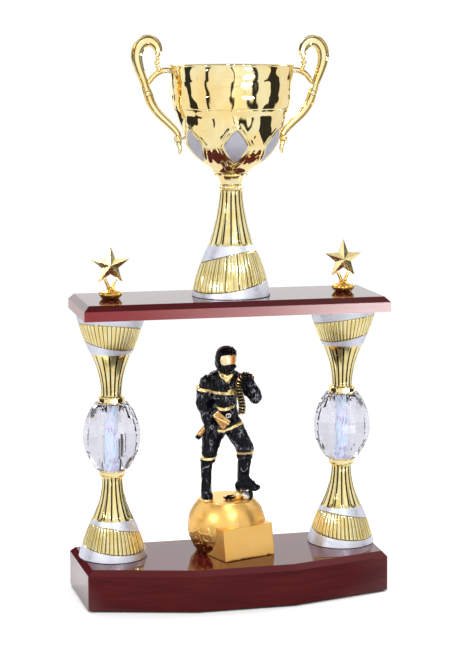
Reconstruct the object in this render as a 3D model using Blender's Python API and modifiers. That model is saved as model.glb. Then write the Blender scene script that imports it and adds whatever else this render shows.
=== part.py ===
"""Two-column award trophy with a cup, two star finials and a firefighter on a globe.

Units are metres, +Z is up and the front of the trophy faces -Y. The origin lies under the
middle of the trophy, on the surface that it stands on.
"""

import math

import bmesh
import bpy
from mathutils import Matrix, Vector

MM = 0.001
GAP = 0.3 * MM                    # air left between pieces that touch

# Where the main axes stand. The columns and the cup share one upright plane, set back so
# that the origin is midway between the base's bow and the back of the bowl's rim.
BOW_DEPTH = 83.3 * MM
RIM_RADIUS = 64.9 * MM
COLUMN_X = 124.6 * MM
COLUMN_Y = (BOW_DEPTH - RIM_RADIUS) / 2
CUP_AXIS = Vector((2.8 * MM, COLUMN_Y, 0.0))   # a little right of the shelf's middle
STAND_AXIS = Vector((-3.0 * MM, COLUMN_Y - 4.0 * MM, 0.0))
STAND_TURN = math.radians(19.4)

# Boards
FELT_THICKNESS = 1.5 * MM
FELT_INSET = 3.0 * MM
BASE_TOP = 43.6 * MM
BASE_CHAMFER = 5.4 * MM
BASE_BACK_HALF_WIDTH = 163.6 * MM
BASE_BACK_Y = COLUMN_Y + 45.4 * MM
BASE_CORNER = (160.0 * MM, COLUMN_Y - 55.1 * MM)
BASE_BOW = (51.5 * MM, COLUMN_Y - BOW_DEPTH)
SHELF_HALF_WIDTH = 160.4 * MM
SHELF_HALF_DEPTH = 54.0 * MM
SHELF_THICKNESS = 15.6 * MM
SHELF_CHAMFER = 5.5 * MM

# Screwed-rod hardware, M6
ROD_RADIUS = 3.0 * MM
ROD_HOLE = 3.4 * MM
NUT_RADIUS = 5.8 * MM
NUT_HEIGHT = 5.0 * MM
WASHER_RADIUS = 9.0 * MM
WASHER_THICKNESS = 1.5 * MM
COUNTERBORE_RADIUS = 11.5 * MM
COUNTERBORE_DEPTH = 9.0 * MM
INSERT_RADIUS = 4.6 * MM
INSERT_LENGTH = 6.5 * MM

# Columns, from the base up: riser, collar, crystal, collar and the same riser inverted
RISER_HEIGHT = 85.0 * MM
RISER_CONE = 40.0 * MM
RISER_FOOT_RADIUS = 36.0 * MM
RISER_WAIST_RADIUS = 22.0 * MM
RISER_NECK_RADIUS = 10.9 * MM
COLLAR_RADIUS = 13.9 * MM
COLLAR_HEIGHT = 7.2 * MM
CRYSTAL_HEIGHT = 69.7 * MM
CRYSTAL_END_RADIUS = 17.5 * MM
CRYSTAL_RADIUS = 30.7 * MM
CRYSTAL_BORE = 7.4 * MM
SLEEVE_RADIUS = 7.0 * MM
SLEEVE_WALL = 1.2 * MM
SHELL_WALL = 2.0 * MM
COLUMN_STEPS = 20

# Cup
CUP_RISER_HEIGHT = 109.0 * MM
CUP_RISER_CONE = 53.0 * MM
CUP_FOOT_RADIUS = 41.0 * MM
CUP_WAIST_RADIUS = 23.5 * MM
CUP_NECK_RADIUS = 12.1 * MM
CUP_COLLAR_RADIUS = 12.4 * MM
CUP_COLLAR_HEIGHT = 5.6 * MM
SOCKET_HEIGHT = 11.8 * MM
SOCKET_RADII = (11.4 * MM, 17.8 * MM)
BOWL_WALL = 1.8 * MM
BOWL_FLOOR = 3.4 * MM
BOWL_STEPS = 24
# Height above the bowl's foot and outer radius, from the rim down, in millimetres
BOWL_STATIONS = (
    (110.4, RIM_RADIUS / MM), (104.5, 63.7), (92, 63), (76, 61.3), (66, 59.3), (57, 56.9),
    (46, 53.7), (35, 49.5), (27, 45.9), (19, 40.5), (12, 33.8), (7, 27), (3, 20.8), (0, 18),
)
HANDLE_SCREW_HEIGHTS = {"upper": 103.4 * MM, "lower": 36.0 * MM}
SCREW_RADIUS = 1.4 * MM
SCREW_HEAD_RADIUS = 2.6 * MM
SCREW_HEAD_HEIGHT = 1.6 * MM
SCREW_LENGTH = 6.5 * MM

# Stars
STAR_RADIUS = 21.0 * MM
STAR_NOTCH_RADIUS = 8.8 * MM
STAR_CENTRE = 34.4 * MM           # above the shelf
STAR_EDGE = 1.2 * MM
STAR_RIDGE = 4.2 * MM
STAR_FOOT_RADIUS = 12.3 * MM

# Globe stand and its name block
GLOBE_RADIUS = 41.0 * MM
GLOBE_CENTRE_HEIGHT = 26.4 * MM   # above the base
GLOBE_HEIGHT = 55.8 * MM
BLOCK_WIDTH = 61.0 * MM
BLOCK_HEIGHT = 33.0 * MM
BLOCK_FRONT = -46.3 * MM
BLOCK_BACK = -8.0 * MM
BLOCK_LEAN = 5.3 * MM
STAND_BORE_DEPTH = 22.0 * MM
BOLT_REACH = 18.0 * MM
PIN_RADIUS = 1.3 * MM
PIN_REACH = 7.0 * MM

# Stacking heights that follow from the sizes above
BASE_BOTTOM = FELT_THICKNESS + GAP
SHELF_BOTTOM = BASE_TOP + 2 * RISER_HEIGHT + 2 * COLLAR_HEIGHT + CRYSTAL_HEIGHT + 6 * GAP
SHELF_TOP = SHELF_BOTTOM + SHELF_THICKNESS
BOWL_BOTTOM = SHELF_TOP + CUP_RISER_HEIGHT + CUP_COLLAR_HEIGHT + SOCKET_HEIGHT + 4 * GAP
GLOBE_TOP = BASE_TOP + GAP + GLOBE_HEIGHT

PALETTE = {
    "lacquer": ((0.12, 0.012, 0.014), 0.08, 0.0),
    "felt": ((0.02, 0.05, 0.03), 0.95, 0.0),
    "gold": ((0.90, 0.68, 0.28), 0.15, 1.0),
    "silver": ((0.70, 0.70, 0.73), 0.35, 1.0),
    "crystal": ((0.92, 0.95, 0.97), 0.05, 0.0),
    "steel": ((0.55, 0.55, 0.56), 0.35, 1.0),
    "brass": ((0.75, 0.58, 0.28), 0.30, 1.0),
    "antique_gold": ((0.72, 0.45, 0.16), 0.38, 1.0),
    "black_resin": ((0.01, 0.01, 0.012), 0.15, 0.0),
}


# ---------------------------------------------------------------- scene helpers

def clear_scene():
    for thing in list(bpy.data.objects):
        bpy.data.objects.remove(thing, do_unlink=True)


def make_collection(name):
    collection = bpy.data.collections.new(name)
    bpy.context.scene.collection.children.link(collection)
    return collection


def make_materials():
    made = {}
    for name, (colour, roughness, metallic) in PALETTE.items():
        material = bpy.data.materials.new(name)
        material.use_nodes = True
        shader = material.node_tree.nodes["Principled BSDF"]
        shader.inputs["Base Color"].default_value = (*colour, 1.0)
        shader.inputs["Roughness"].default_value = roughness
        shader.inputs["Metallic"].default_value = metallic
        made[name] = material
    return made


def add_object(name, mesh, finish=None, place=(0, 0, 0)):
    """Put a mesh in the trophy, or among the cutters when it has no finish."""
    piece = bpy.data.objects.new(name, mesh)
    piece.location = place
    if finish:
        mesh.materials.append(MATERIALS[finish])
        PARTS.objects.link(piece)
    else:
        piece.hide_render = True
        piece.display_type = "WIRE"
        CUTTERS.objects.link(piece)
    return piece


def mesh_from(form, name):
    mesh = bpy.data.meshes.new(name)
    bmesh.ops.recalc_face_normals(form, faces=form.faces)
    form.to_mesh(mesh)
    form.free()
    return mesh


def freeze(piece, sharp_angle=32):
    """Keep the evaluated shape as a plain mesh, smooth except across sharp edges."""
    bpy.context.view_layer.update()
    shaped = piece.evaluated_get(bpy.context.evaluated_depsgraph_get())
    mesh = bpy.data.meshes.new_from_object(shaped)
    mesh.name = piece.name
    piece.modifiers.clear()
    piece.data = mesh
    mesh.shade_smooth()
    mesh.set_sharp_from_angle(angle=math.radians(sharp_angle))
    return piece


def mesh_from_curve(curve_object, name, finish):
    """Swap a curve for a welded mesh object in the same place."""
    bpy.context.view_layer.update()
    shaped = curve_object.evaluated_get(bpy.context.evaluated_depsgraph_get())
    form = bmesh.new()
    form.from_mesh(bpy.data.meshes.new_from_object(shaped))
    bmesh.ops.remove_doubles(form, verts=form.verts, dist=0.01 * MM)
    matrix = curve_object.matrix_world.copy()
    bpy.data.objects.remove(curve_object)
    piece = add_object(name, mesh_from(form, name), finish)
    piece.matrix_world = matrix
    return piece


def boolean(piece, other, operation):
    modifier = piece.modifiers.new(other.name, "BOOLEAN")
    modifier.operation = operation
    modifier.solver = "EXACT"
    modifier.object = other


def cut(piece, cutter):
    boolean(piece, cutter, "DIFFERENCE")


def fuse(body, others):
    """Join closed shapes into one solid."""
    for other in others:
        boolean(body, other, "UNION")
        freeze(body)
        bpy.data.objects.remove(other, do_unlink=True)
    return body


# ---------------------------------------------------------------- shape helpers

def turned(name, profile, steps, finish=None, place=(0, 0, 0)):
    """Spin (radius, height) points, listed down the outer side, about a vertical axis.

    A profile that starts off the axis is the closed section of a ring.
    """
    form = bmesh.new()
    points = [form.verts.new((radius, 0.0, height)) for radius, height in profile]
    for upper, lower in zip(points, points[1:]):
        form.edges.new((upper, lower))
    if profile[0][0] > 0:
        form.edges.new((points[-1], points[0]))
    mesh = bpy.data.meshes.new(name)
    form.to_mesh(mesh)
    form.free()
    piece = add_object(name, mesh, finish, place)
    screw = piece.modifiers.new("Turn", "SCREW")
    screw.axis = "Z"
    screw.steps = steps
    screw.render_steps = steps
    screw.use_merge_vertices = True
    screw.merge_threshold = 0.01 * MM
    return freeze(piece)


def flipped(profile, height):
    """The same section upside down, still listed down its outer side."""
    return [(radius, height - level) for radius, level in reversed(profile)]


def ring(name, outer, inner, bottom, height, steps, finish, place):
    """A plain turned ring: washer, collar, sleeve or insert."""
    section = [
        (outer, bottom + height), (outer, bottom), (inner, bottom), (inner, bottom + height),
    ]
    return turned(name, section, steps, finish, place)


def rod(name, radius, bottom, top, steps, finish=None, place=(0, 0, 0)):
    section = [(0, top), (radius, top), (radius, bottom), (0, bottom)]
    return turned(name, section, steps, finish, place)


def hex_nut(name, bottom, finish, place):
    nut = rod(name, NUT_RADIUS, bottom, bottom + NUT_HEIGHT, 6, finish, place)
    cut(nut, rod(name + "_bore", ROD_RADIUS + GAP, bottom - MM, bottom + NUT_HEIGHT + MM, 12,
                 None, place))
    return nut


def board(name, outline, bottom, top, chamfer, finish):
    """A flat board from its outline, with a chamfer round its upper edge."""
    curve = bpy.data.curves.new(name, "CURVE")
    curve.dimensions = "2D"
    curve.fill_mode = "BOTH"
    curve.extrude = (top - bottom) / 2
    spline = curve.splines.new("POLY")
    spline.points.add(len(outline) - 1)
    for point, (x, y) in zip(spline.points, outline):
        point.co = (x, y, 0.0, 1.0)
    spline.use_cyclic_u = True
    guide = bpy.data.objects.new(name + "_outline", curve)
    guide.location.z = (top + bottom) / 2
    PARTS.objects.link(guide)
    piece = mesh_from_curve(guide, name, finish)
    form = bmesh.new()
    form.from_mesh(piece.data)
    bmesh.ops.dissolve_limit(form, angle_limit=0.01, verts=form.verts, edges=form.edges)
    if chamfer:
        level = (top - bottom) / 2 - 0.01 * MM
        rim = [edge for edge in form.edges if min(v.co.z for v in edge.verts) > level]
        bmesh.ops.bevel(form, geom=rim, offset=chamfer, segments=1, affect="EDGES")
    form.to_mesh(piece.data)
    form.free()
    return piece


def ball(name, centre, radii, segments=10, rings=7, finish=None):
    form = bmesh.new()
    bmesh.ops.create_uvsphere(form, u_segments=segments, v_segments=rings, radius=1.0)
    bmesh.ops.scale(form, vec=Vector(radii), verts=form.verts)
    return add_object(name, mesh_from(form, name), finish, centre)


def limb(name, start, end, start_radius, end_radius, sides=10, finish=None):
    """A tapered round bar between two points."""
    start = Vector(start)
    direction = Vector(end) - start
    form = bmesh.new()
    bmesh.ops.create_cone(
        form, cap_ends=True, segments=sides, radius1=start_radius, radius2=end_radius,
        depth=direction.length,
    )
    turn = direction.to_track_quat("Z", "Y").to_matrix().to_4x4()
    bmesh.ops.transform(form, matrix=turn, verts=form.verts)
    return add_object(name, mesh_from(form, name), finish, start + direction / 2)


def box(name, centre, size, turn=0.0, finish=None):
    form = bmesh.new()
    bmesh.ops.create_cube(form, size=1.0)
    bmesh.ops.scale(form, vec=Vector(size), verts=form.verts)
    bmesh.ops.rotate(form, matrix=Matrix.Rotation(turn, 3, "Z"), verts=form.verts)
    return add_object(name, mesh_from(form, name), finish, centre)


def smooth_route(points, per_span):
    """Points on a Catmull-Rom curve through the given points."""
    knots = [Vector(point) for point in points]
    ends = [2 * knots[0] - knots[1]] + knots + [2 * knots[-1] - knots[-2]]
    route = []
    for a, b, c, d in zip(ends, ends[1:], ends[2:], ends[3:]):
        for step in range(per_span):
            t = step / per_span
            route.append(0.5 * (
                2 * b + (c - a) * t + (2 * a - 5 * b + 4 * c - d) * t ** 2
                + (3 * b - a - 3 * c + d) * t ** 3
            ))
    route.append(knots[-1])
    return route


def tapered_tube(name, route, finish):
    """A round bar along (x, z, radius) points in the plane of the cup's axis."""
    curve = bpy.data.curves.new(name, "CURVE")
    curve.dimensions = "3D"
    curve.bevel_depth = 1.0 * MM
    curve.bevel_resolution = 2
    curve.use_fill_caps = True
    spline = curve.splines.new("POLY")
    spline.points.add(len(route) - 1)
    for point, (x, z, radius) in zip(spline.points, route):
        point.co = (x * MM, 0.0, z * MM, 1.0)
        point.radius = radius
    guide = bpy.data.objects.new(name + "_route", curve)
    guide.location = CUP_AXIS
    PARTS.objects.link(guide)
    return mesh_from_curve(guide, name, finish)


# ---------------------------------------------------------------- boards and hardware

def base_outline(inset=0.0):
    """The base's plan: straight back, slightly tapered ends and a bowed three-facet front."""
    back = (BASE_BACK_HALF_WIDTH - inset, BASE_BACK_Y - inset)
    corner = (BASE_CORNER[0] - inset, BASE_CORNER[1] + inset)
    bow = (BASE_BOW[0] - inset / 4, BASE_BOW[1] + inset)
    right = [bow, corner, back]
    return right + [(-x, y) for x, y in reversed(right)]


def column_axes():
    return {"left": Vector((-COLUMN_X, COLUMN_Y, 0)), "right": Vector((COLUMN_X, COLUMN_Y, 0))}


def counterbored_hole(name, place, bottom, top):
    """Cutter for a rod hole with a nut pocket in the underside."""
    pocket_top = bottom + COUNTERBORE_DEPTH
    section = [
        (0, top + MM), (ROD_HOLE, top + MM), (ROD_HOLE, pocket_top),
        (COUNTERBORE_RADIUS, pocket_top), (COUNTERBORE_RADIUS, bottom - MM), (0, bottom - MM),
    ]
    return turned(name, section, 20, None, place)


def build_boards():
    board("base_felt", base_outline(FELT_INSET), 0.0, FELT_THICKNESS, 0.0, "felt")
    base = board("base_board", base_outline(), BASE_BOTTOM, BASE_TOP, BASE_CHAMFER, "lacquer")
    shelf_outline = [
        (x * SHELF_HALF_WIDTH, COLUMN_Y + y * SHELF_HALF_DEPTH)
        for x, y in ((-1, -1), (1, -1), (1, 1), (-1, 1))
    ]
    shelf = board("top_board", shelf_outline, SHELF_BOTTOM, SHELF_TOP, SHELF_CHAMFER, "lacquer")
    for side, axis in column_axes().items():
        cut(base, counterbored_hole("base_hole_" + side, axis, BASE_BOTTOM, BASE_TOP))
        cut(shelf, rod("shelf_hole_" + side, ROD_HOLE, SHELF_BOTTOM - MM, SHELF_TOP + MM,
                       16, None, axis))
    cut(base, counterbored_hole("base_hole_stand", STAND_AXIS, BASE_BOTTOM, BASE_TOP))
    cut(shelf, counterbored_hole("shelf_hole_cup", CUP_AXIS, SHELF_BOTTOM, SHELF_TOP))


def build_nut_and_washer(prefix, pocket_top, place):
    """A washer against the top of a nut pocket with a hexagon nut under it."""
    washer_bottom = pocket_top - GAP - WASHER_THICKNESS
    ring(prefix + "_washer", WASHER_RADIUS, ROD_RADIUS + GAP, washer_bottom, WASHER_THICKNESS,
         16, "steel", place)
    nut_bottom = washer_bottom - GAP - NUT_HEIGHT
    hex_nut(prefix + "_nut", nut_bottom, "steel", place)
    return nut_bottom


# ---------------------------------------------------------------- columns

def riser_section(height, cone, foot, waist, neck, bulge, hollow):
    """Ring section of a flared shell: a bulged cone below a concave neck."""
    outer = []
    for step in range(5):
        t = step / 5
        outer.append((neck + (waist - neck) * t ** hollow, height - (height - cone) * t))
    for step in range(5):
        t = 1 - step / 4
        outer.append((foot + (waist - foot) * (bulge * t + (1 - bulge) * t * t), cone * t))
    web = height - 2 * SHELL_WALL
    inner = [
        (foot - SHELL_WALL, 0.0), (waist - SHELL_WALL, cone - SHELL_WALL),
        (neck - SHELL_WALL / 2, (cone + 2 * web) / 3), (neck - SHELL_WALL, web),
        (ROD_HOLE, web), (ROD_HOLE, height),
    ]
    return outer + inner


def column_riser_section():
    return riser_section(RISER_HEIGHT, RISER_CONE, RISER_FOOT_RADIUS, RISER_WAIST_RADIUS,
                         RISER_NECK_RADIUS, 0.71, 2.0)


def crystal_section():
    """Ring section of the faceted crystal, from its upper end to its lower one."""
    half = CRYSTAL_HEIGHT / 2
    shoulder = [
        (CRYSTAL_END_RADIUS, half), (0.80 * CRYSTAL_RADIUS, 0.68 * half),
        (0.955 * CRYSTAL_RADIUS, 0.31 * half), (CRYSTAL_RADIUS, 0.07 * half),
    ]
    lower = [(radius, -level) for radius, level in reversed(shoulder)]
    section = shoulder + lower + [(CRYSTAL_BORE, -half), (CRYSTAL_BORE, half)]
    return [(radius, level + half) for radius, level in section]


def build_column(side, axis):
    level = BASE_TOP + GAP
    riser = column_riser_section()
    turned(side + "_lower_riser", riser, COLUMN_STEPS, "gold", axis + Vector((0, 0, level)))
    level += RISER_HEIGHT + GAP
    ring(side + "_lower_collar", COLLAR_RADIUS, ROD_HOLE, level, COLLAR_HEIGHT, 12, "gold", axis)
    level += COLLAR_HEIGHT + GAP
    turned(side + "_crystal", crystal_section(), 12, "crystal", axis + Vector((0, 0, level)))
    ring(side + "_crystal_sleeve", SLEEVE_RADIUS, SLEEVE_RADIUS - SLEEVE_WALL, level,
         CRYSTAL_HEIGHT, 12, "silver", axis)
    level += CRYSTAL_HEIGHT + GAP
    ring(side + "_upper_collar", COLLAR_RADIUS, ROD_HOLE, level, COLLAR_HEIGHT, 12, "gold", axis)
    level += COLLAR_HEIGHT + GAP
    turned(side + "_upper_riser", flipped(riser, RISER_HEIGHT), COLUMN_STEPS, "gold",
           axis + Vector((0, 0, level)))
    nut_bottom = build_nut_and_washer(side + "_rod", BASE_BOTTOM + COUNTERBORE_DEPTH, axis)
    rod(side + "_tie_rod", ROD_RADIUS, nut_bottom - 0.5 * MM, SHELF_TOP + INSERT_LENGTH,
        12, "steel", axis)


# ---------------------------------------------------------------- star finials

def star_plate(name, centre):
    """A five-pointed star in the XZ plane, ridged front and back."""
    form = bmesh.new()
    bmesh.ops.create_circle(form, cap_ends=True, segments=10, radius=1.0)
    for vert in form.verts:
        angle = math.atan2(vert.co.x, vert.co.y)
        point = round(angle / math.radians(36)) % 2 == 0
        radius = STAR_RADIUS if point else STAR_NOTCH_RADIUS
        vert.co = Vector((math.sin(angle) * radius, math.cos(angle) * radius, -STAR_EDGE / 2))
    back = bmesh.ops.extrude_face_region(form, geom=form.faces[:])
    moved = [item for item in back["geom"] if isinstance(item, bmesh.types.BMVert)]
    bmesh.ops.translate(form, vec=(0, 0, STAR_EDGE), verts=moved)
    bmesh.ops.recalc_face_normals(form, faces=form.faces)
    flat = [face for face in form.faces if len(face.verts) == 10]
    bmesh.ops.poke(form, faces=flat, offset=STAR_RIDGE)
    bmesh.ops.rotate(form, matrix=Matrix.Rotation(math.radians(90), 3, "X"), verts=form.verts)
    return add_object(name, mesh_from(form, name), "gold", centre)


def build_star(side, axis):
    """Star, forked stem and domed foot in one moulding, with a threaded insert in the foot."""
    floor = SHELF_TOP + GAP
    up = Vector((0, 0, 1))
    body = star_plate(side + "_star", axis + up * (SHELF_TOP + STAR_CENTRE))
    foot = [
        (0, 11.6 * MM), (3.2 * MM, 11.6 * MM), (4.4 * MM, 9.0 * MM), (9.0 * MM, 7.6 * MM),
        (STAR_FOOT_RADIUS, 5.6 * MM), (STAR_FOOT_RADIUS, 4.2 * MM), (10.2 * MM, 1.4 * MM),
        (8.6 * MM, 0), (0, 0),
    ]
    pieces = [turned(side + "_foot", foot, 16, None, axis + up * floor)]
    fork_root = axis + up * (SHELF_TOP + 10.0 * MM)
    for direction in (-1, 1):
        tip = axis + Vector((direction * 7.2 * MM, 0, SHELF_TOP + 21.6 * MM))
        pieces.append(limb(side + "_fork", fork_root, tip, 2.0 * MM, 1.7 * MM, 8))
    fuse(body, pieces)
    bore = rod(side + "_star_bore", INSERT_RADIUS + GAP, floor - MM,
               floor + INSERT_LENGTH + GAP, 12, None, axis)
    cut(body, bore)
    ring(side + "_star_insert", INSERT_RADIUS, ROD_RADIUS + GAP, floor, INSERT_LENGTH,
         12, "brass", axis)


# ---------------------------------------------------------------- cup

def bowl_radius(height):
    """Outer radius of the bowl at a height above its foot."""
    for (upper, outer), (lower, inner) in zip(BOWL_STATIONS, BOWL_STATIONS[1:]):
        if height / MM >= lower:
            share = (height / MM - lower) / (upper - lower)
            return (inner + share * (outer - inner)) * MM
    return BOWL_STATIONS[-1][1] * MM


def bowl_outer(grow=0.0):
    return [(radius * MM + grow, height * MM) for height, radius in BOWL_STATIONS]


def bowl_section():
    """Ring section of the bowl: outer side down, drilled floor, inner side up."""
    outer = bowl_outer()
    inner = []
    for before, here, after in zip(outer, outer[1:], outer[2:]):
        run = Vector((after[0] - before[0], after[1] - before[1])).normalized()
        point = (here[0] + run.y * BOWL_WALL, here[1] - run.x * BOWL_WALL)
        if point[1] > BOWL_FLOOR + MM:
            inner.append(point)
    inner = [(outer[0][0] - BOWL_WALL, outer[0][1])] + inner
    floor_radius = bowl_radius(BOWL_FLOOR) - 2.2 * BOWL_WALL
    floor = [(ROD_HOLE, 0), (ROD_HOLE, BOWL_FLOOR), (floor_radius, BOWL_FLOOR)]
    return outer + floor + inner[::-1]


def screw_frame(height, side):
    """Point on the bowl's outer wall, and the direction square to the wall there."""
    slope = (bowl_radius(height + MM) - bowl_radius(height - MM)) / (2 * MM)
    direction = Vector((side, 0, -slope)).normalized()
    point = CUP_AXIS + Vector((side * bowl_radius(height), 0, BOWL_BOTTOM + height))
    return point, direction


def handle_screw(name, height, side, finish=None):
    """A flat-headed screw through the bowl's wall, or its clearance hole."""
    point, direction = screw_frame(height, side)
    slack = 0.0 if finish else GAP
    head_face = -BOWL_WALL - 2 * GAP
    shank_radius = SCREW_RADIUS + slack
    tip = SCREW_LENGTH + slack
    if finish:
        section = [
            (0, tip), (shank_radius, tip), (shank_radius, head_face),
            (SCREW_HEAD_RADIUS, head_face), (SCREW_HEAD_RADIUS, head_face - SCREW_HEAD_HEIGHT),
            (0, head_face - SCREW_HEAD_HEIGHT),
        ]
    else:
        start = head_face - SCREW_HEAD_HEIGHT
        section = [(0, tip), (shank_radius, tip), (shank_radius, start), (0, start)]
    screw = turned(name, section, 10, finish, point)
    screw.rotation_euler = direction.to_track_quat("Z", "Y").to_euler()
    return screw


def handle_routes(side):
    """Centre line and half width of the ear-shaped strap, its bracket and its drop."""
    strap = [
        (54.6, 465.5, 1.6), (53.4, 473.0, 2.6), (57.0, 481.5, 3.4), (68.0, 491.5, 3.4),
        (78.2, 501.5, 3.7), (84.6, 513.0, 4.0), (87.8, 525.5, 4.2), (91.4, 538.5, 4.0),
        (96.2, 549.5, 4.0), (98.9, 560.0, 4.7), (97.6, 569.5, 5.1), (92.6, 576.2, 5.3),
        (85.2, 578.2, 5.2), (78.0, 574.6, 4.7), (75.2, 567.6, 3.6), (76.8, 560.5, 2.4),
    ]
    bracket = [(60.5, 546.0, 3.2), (70.0, 546.2, 3.4), (78.5, 543.6, 3.2), (87.4, 534.0, 3.2)]
    drop = [(76.8, 561.5, 2.3), (77.6, 553.5, 2.6), (75.4, 545.5, 2.4)]
    return [
        [(side * x, z, radius) for x, z, radius in smooth_route(points, 2)]
        for points in (strap, bracket, drop)
    ]


def build_handle(name, side):
    strap, bracket, drop = handle_routes(side)
    handle = tapered_tube(name, strap, "gold")
    root = CUP_AXIS + Vector((side * 54.0 * MM, 0, 477.6 * MM))
    fuse(handle, [
        tapered_tube(name + "_bracket", bracket, "gold"),
        tapered_tube(name + "_drop", drop, "gold"),
        ball(name + "_root", root, (4.6 * MM,) * 3),
    ])
    return handle


def build_cup():
    level = SHELF_TOP + GAP
    riser = riser_section(CUP_RISER_HEIGHT, CUP_RISER_CONE, CUP_FOOT_RADIUS, CUP_WAIST_RADIUS,
                          CUP_NECK_RADIUS, 0.48, 1.6)
    turned("cup_riser", riser, 28, "gold", CUP_AXIS + Vector((0, 0, level)))
    level += CUP_RISER_HEIGHT + GAP
    ring("cup_collar", CUP_COLLAR_RADIUS, ROD_HOLE, level, CUP_COLLAR_HEIGHT, 24, "gold",
         CUP_AXIS)
    level += CUP_COLLAR_HEIGHT + GAP
    low, high = SOCKET_RADII
    socket = [
        (high, SOCKET_HEIGHT), (high, 0.78 * SOCKET_HEIGHT), (low * 1.18, 0.4 * SOCKET_HEIGHT),
        (low, 0), (ROD_HOLE, 0), (ROD_HOLE, SOCKET_HEIGHT),
    ]
    turned("cup_socket", socket, 24, "gold", CUP_AXIS + Vector((0, 0, level)))
    place = CUP_AXIS + Vector((0, 0, BOWL_BOTTOM))
    bowl = turned("cup_bowl", bowl_section(), BOWL_STEPS, "gold", place)
    solid = bowl_outer(GAP) + [(0, 0)]
    trim = turned("handle_trim", [(0, solid[0][1])] + solid, BOWL_STEPS, None, place)
    for word, side in (("left", -1), ("right", 1)):
        handle = build_handle(word + "_handle", side)
        cut(handle, trim)
        for position, height in HANDLE_SCREW_HEIGHTS.items():
            name = word + "_handle_screw_" + position
            hole = handle_screw(name + "_hole", height, side)
            cut(bowl, hole)
            cut(handle, hole)
            handle_screw(name, height, side, "steel")


def build_cup_stud():
    """Screwed rod from the pocket under the shelf to the floor of the bowl."""
    nut_bottom = build_nut_and_washer("cup_stud_lower", SHELF_BOTTOM + COUNTERBORE_DEPTH,
                                      CUP_AXIS)
    floor = BOWL_BOTTOM + BOWL_FLOOR + GAP
    ring("cup_stud_upper_washer", WASHER_RADIUS, ROD_RADIUS + GAP, floor, WASHER_THICKNESS,
         16, "steel", CUP_AXIS)
    nut_top = floor + WASHER_THICKNESS + GAP + NUT_HEIGHT
    hex_nut("cup_stud_upper_nut", nut_top - NUT_HEIGHT, "steel", CUP_AXIS)
    rod("cup_stud", ROD_RADIUS, nut_bottom - 0.5 * MM, nut_top + 1.5 * MM, 12, "steel", CUP_AXIS)


# ---------------------------------------------------------------- globe stand

def build_stand():
    """A globe cut flat above and below, with a sloping name block grown out of its front."""
    place = STAND_AXIS + Vector((0, 0, BASE_TOP + GAP))
    section = [(0, GLOBE_HEIGHT)]
    top_angle = math.asin((GLOBE_HEIGHT - GLOBE_CENTRE_HEIGHT) / GLOBE_RADIUS)
    bottom_angle = -math.asin(GLOBE_CENTRE_HEIGHT / GLOBE_RADIUS)
    for step in range(9):
        angle = top_angle + (bottom_angle - top_angle) * step / 8
        level = GLOBE_CENTRE_HEIGHT + GLOBE_RADIUS * math.sin(angle)
        section.append((GLOBE_RADIUS * math.cos(angle), max(level, 0.0)))
    bore = INSERT_RADIUS + GAP
    section += [(bore, 0), (bore, STAND_BORE_DEPTH), (0, STAND_BORE_DEPTH)]
    globe = turned("globe_stand", section, 24, "antique_gold", place)
    form = bmesh.new()
    bmesh.ops.create_cube(form, size=1.0)
    size = Vector((BLOCK_WIDTH, BLOCK_BACK - BLOCK_FRONT, BLOCK_HEIGHT))
    bmesh.ops.scale(form, vec=size, verts=form.verts)
    middle = Vector((0, (BLOCK_FRONT + BLOCK_BACK) / 2, BLOCK_HEIGHT / 2))
    bmesh.ops.translate(form, vec=middle, verts=form.verts)
    for vert in form.verts:
        if vert.co.z > BLOCK_HEIGHT / 2 and vert.co.y < middle.y:
            vert.co.y += BLOCK_LEAN
    bmesh.ops.rotate(form, matrix=Matrix.Rotation(STAND_TURN, 3, "Z"), verts=form.verts)
    fuse(globe, [add_object("name_block", mesh_from(form, "name_block"), None, place)])
    return globe


def build_stand_hardware():
    """Bolt up through the base into a threaded insert in the globe."""
    floor = BASE_TOP + GAP
    ring("stand_insert", INSERT_RADIUS, ROD_RADIUS + GAP, floor, STAND_BORE_DEPTH - 4 * MM,
         12, "brass", STAND_AXIS)
    washer_bottom = BASE_BOTTOM + COUNTERBORE_DEPTH - GAP - WASHER_THICKNESS
    ring("stand_bolt_washer", WASHER_RADIUS, ROD_RADIUS + GAP, washer_bottom,
         WASHER_THICKNESS, 16, "steel", STAND_AXIS)
    head_top = washer_bottom - GAP
    bolt = rod("stand_bolt", ROD_RADIUS, head_top - MM, BASE_TOP + BOLT_REACH, 12, "steel",
               STAND_AXIS)
    head = rod("stand_bolt_head", NUT_RADIUS, head_top - 4 * MM, head_top, 6, None, STAND_AXIS)
    fuse(bolt, [head])


# ---------------------------------------------------------------- firefighter

# Joints of the figure in millimetres: across and forward from the globe's axis, and above
# its flat top
FIGURE_POINTS = {
    "head": (-1.4, -2.0, 150.0), "neck": (0.0, 0.0, 137.0), "chest": (-4.0, 0.0, 116.0),
    "waist": (-1.0, 0.0, 92.0), "hips": (-1.5, 0.0, 78.0),
    "planted_shoulder": (-20.0, 0.0, 124.0), "planted_elbow": (-26.5, 2.0, 98.0),
    "planted_hand": (-14.0, -8.0, 75.5),
    "raised_shoulder": (15.0, 1.0, 126.5), "raised_elbow": (30.0, -3.0, 105.5),
    "raised_hand": (20.5, -11.0, 130.5),
    "planted_hip": (-11.0, -1.0, 74.0), "planted_knee": (-18.8, -5.0, 44.5),
    "planted_ankle": (-20.6, -8.0, 8.0),
    "stepping_hip": (8.0, 1.0, 74.0), "stepping_knee": (20.0, -3.0, 50.0),
    "stepping_ankle": (16.5, 2.0, 24.0), "stepping_toe": (31.0, -6.0, 15.0),
}
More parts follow.
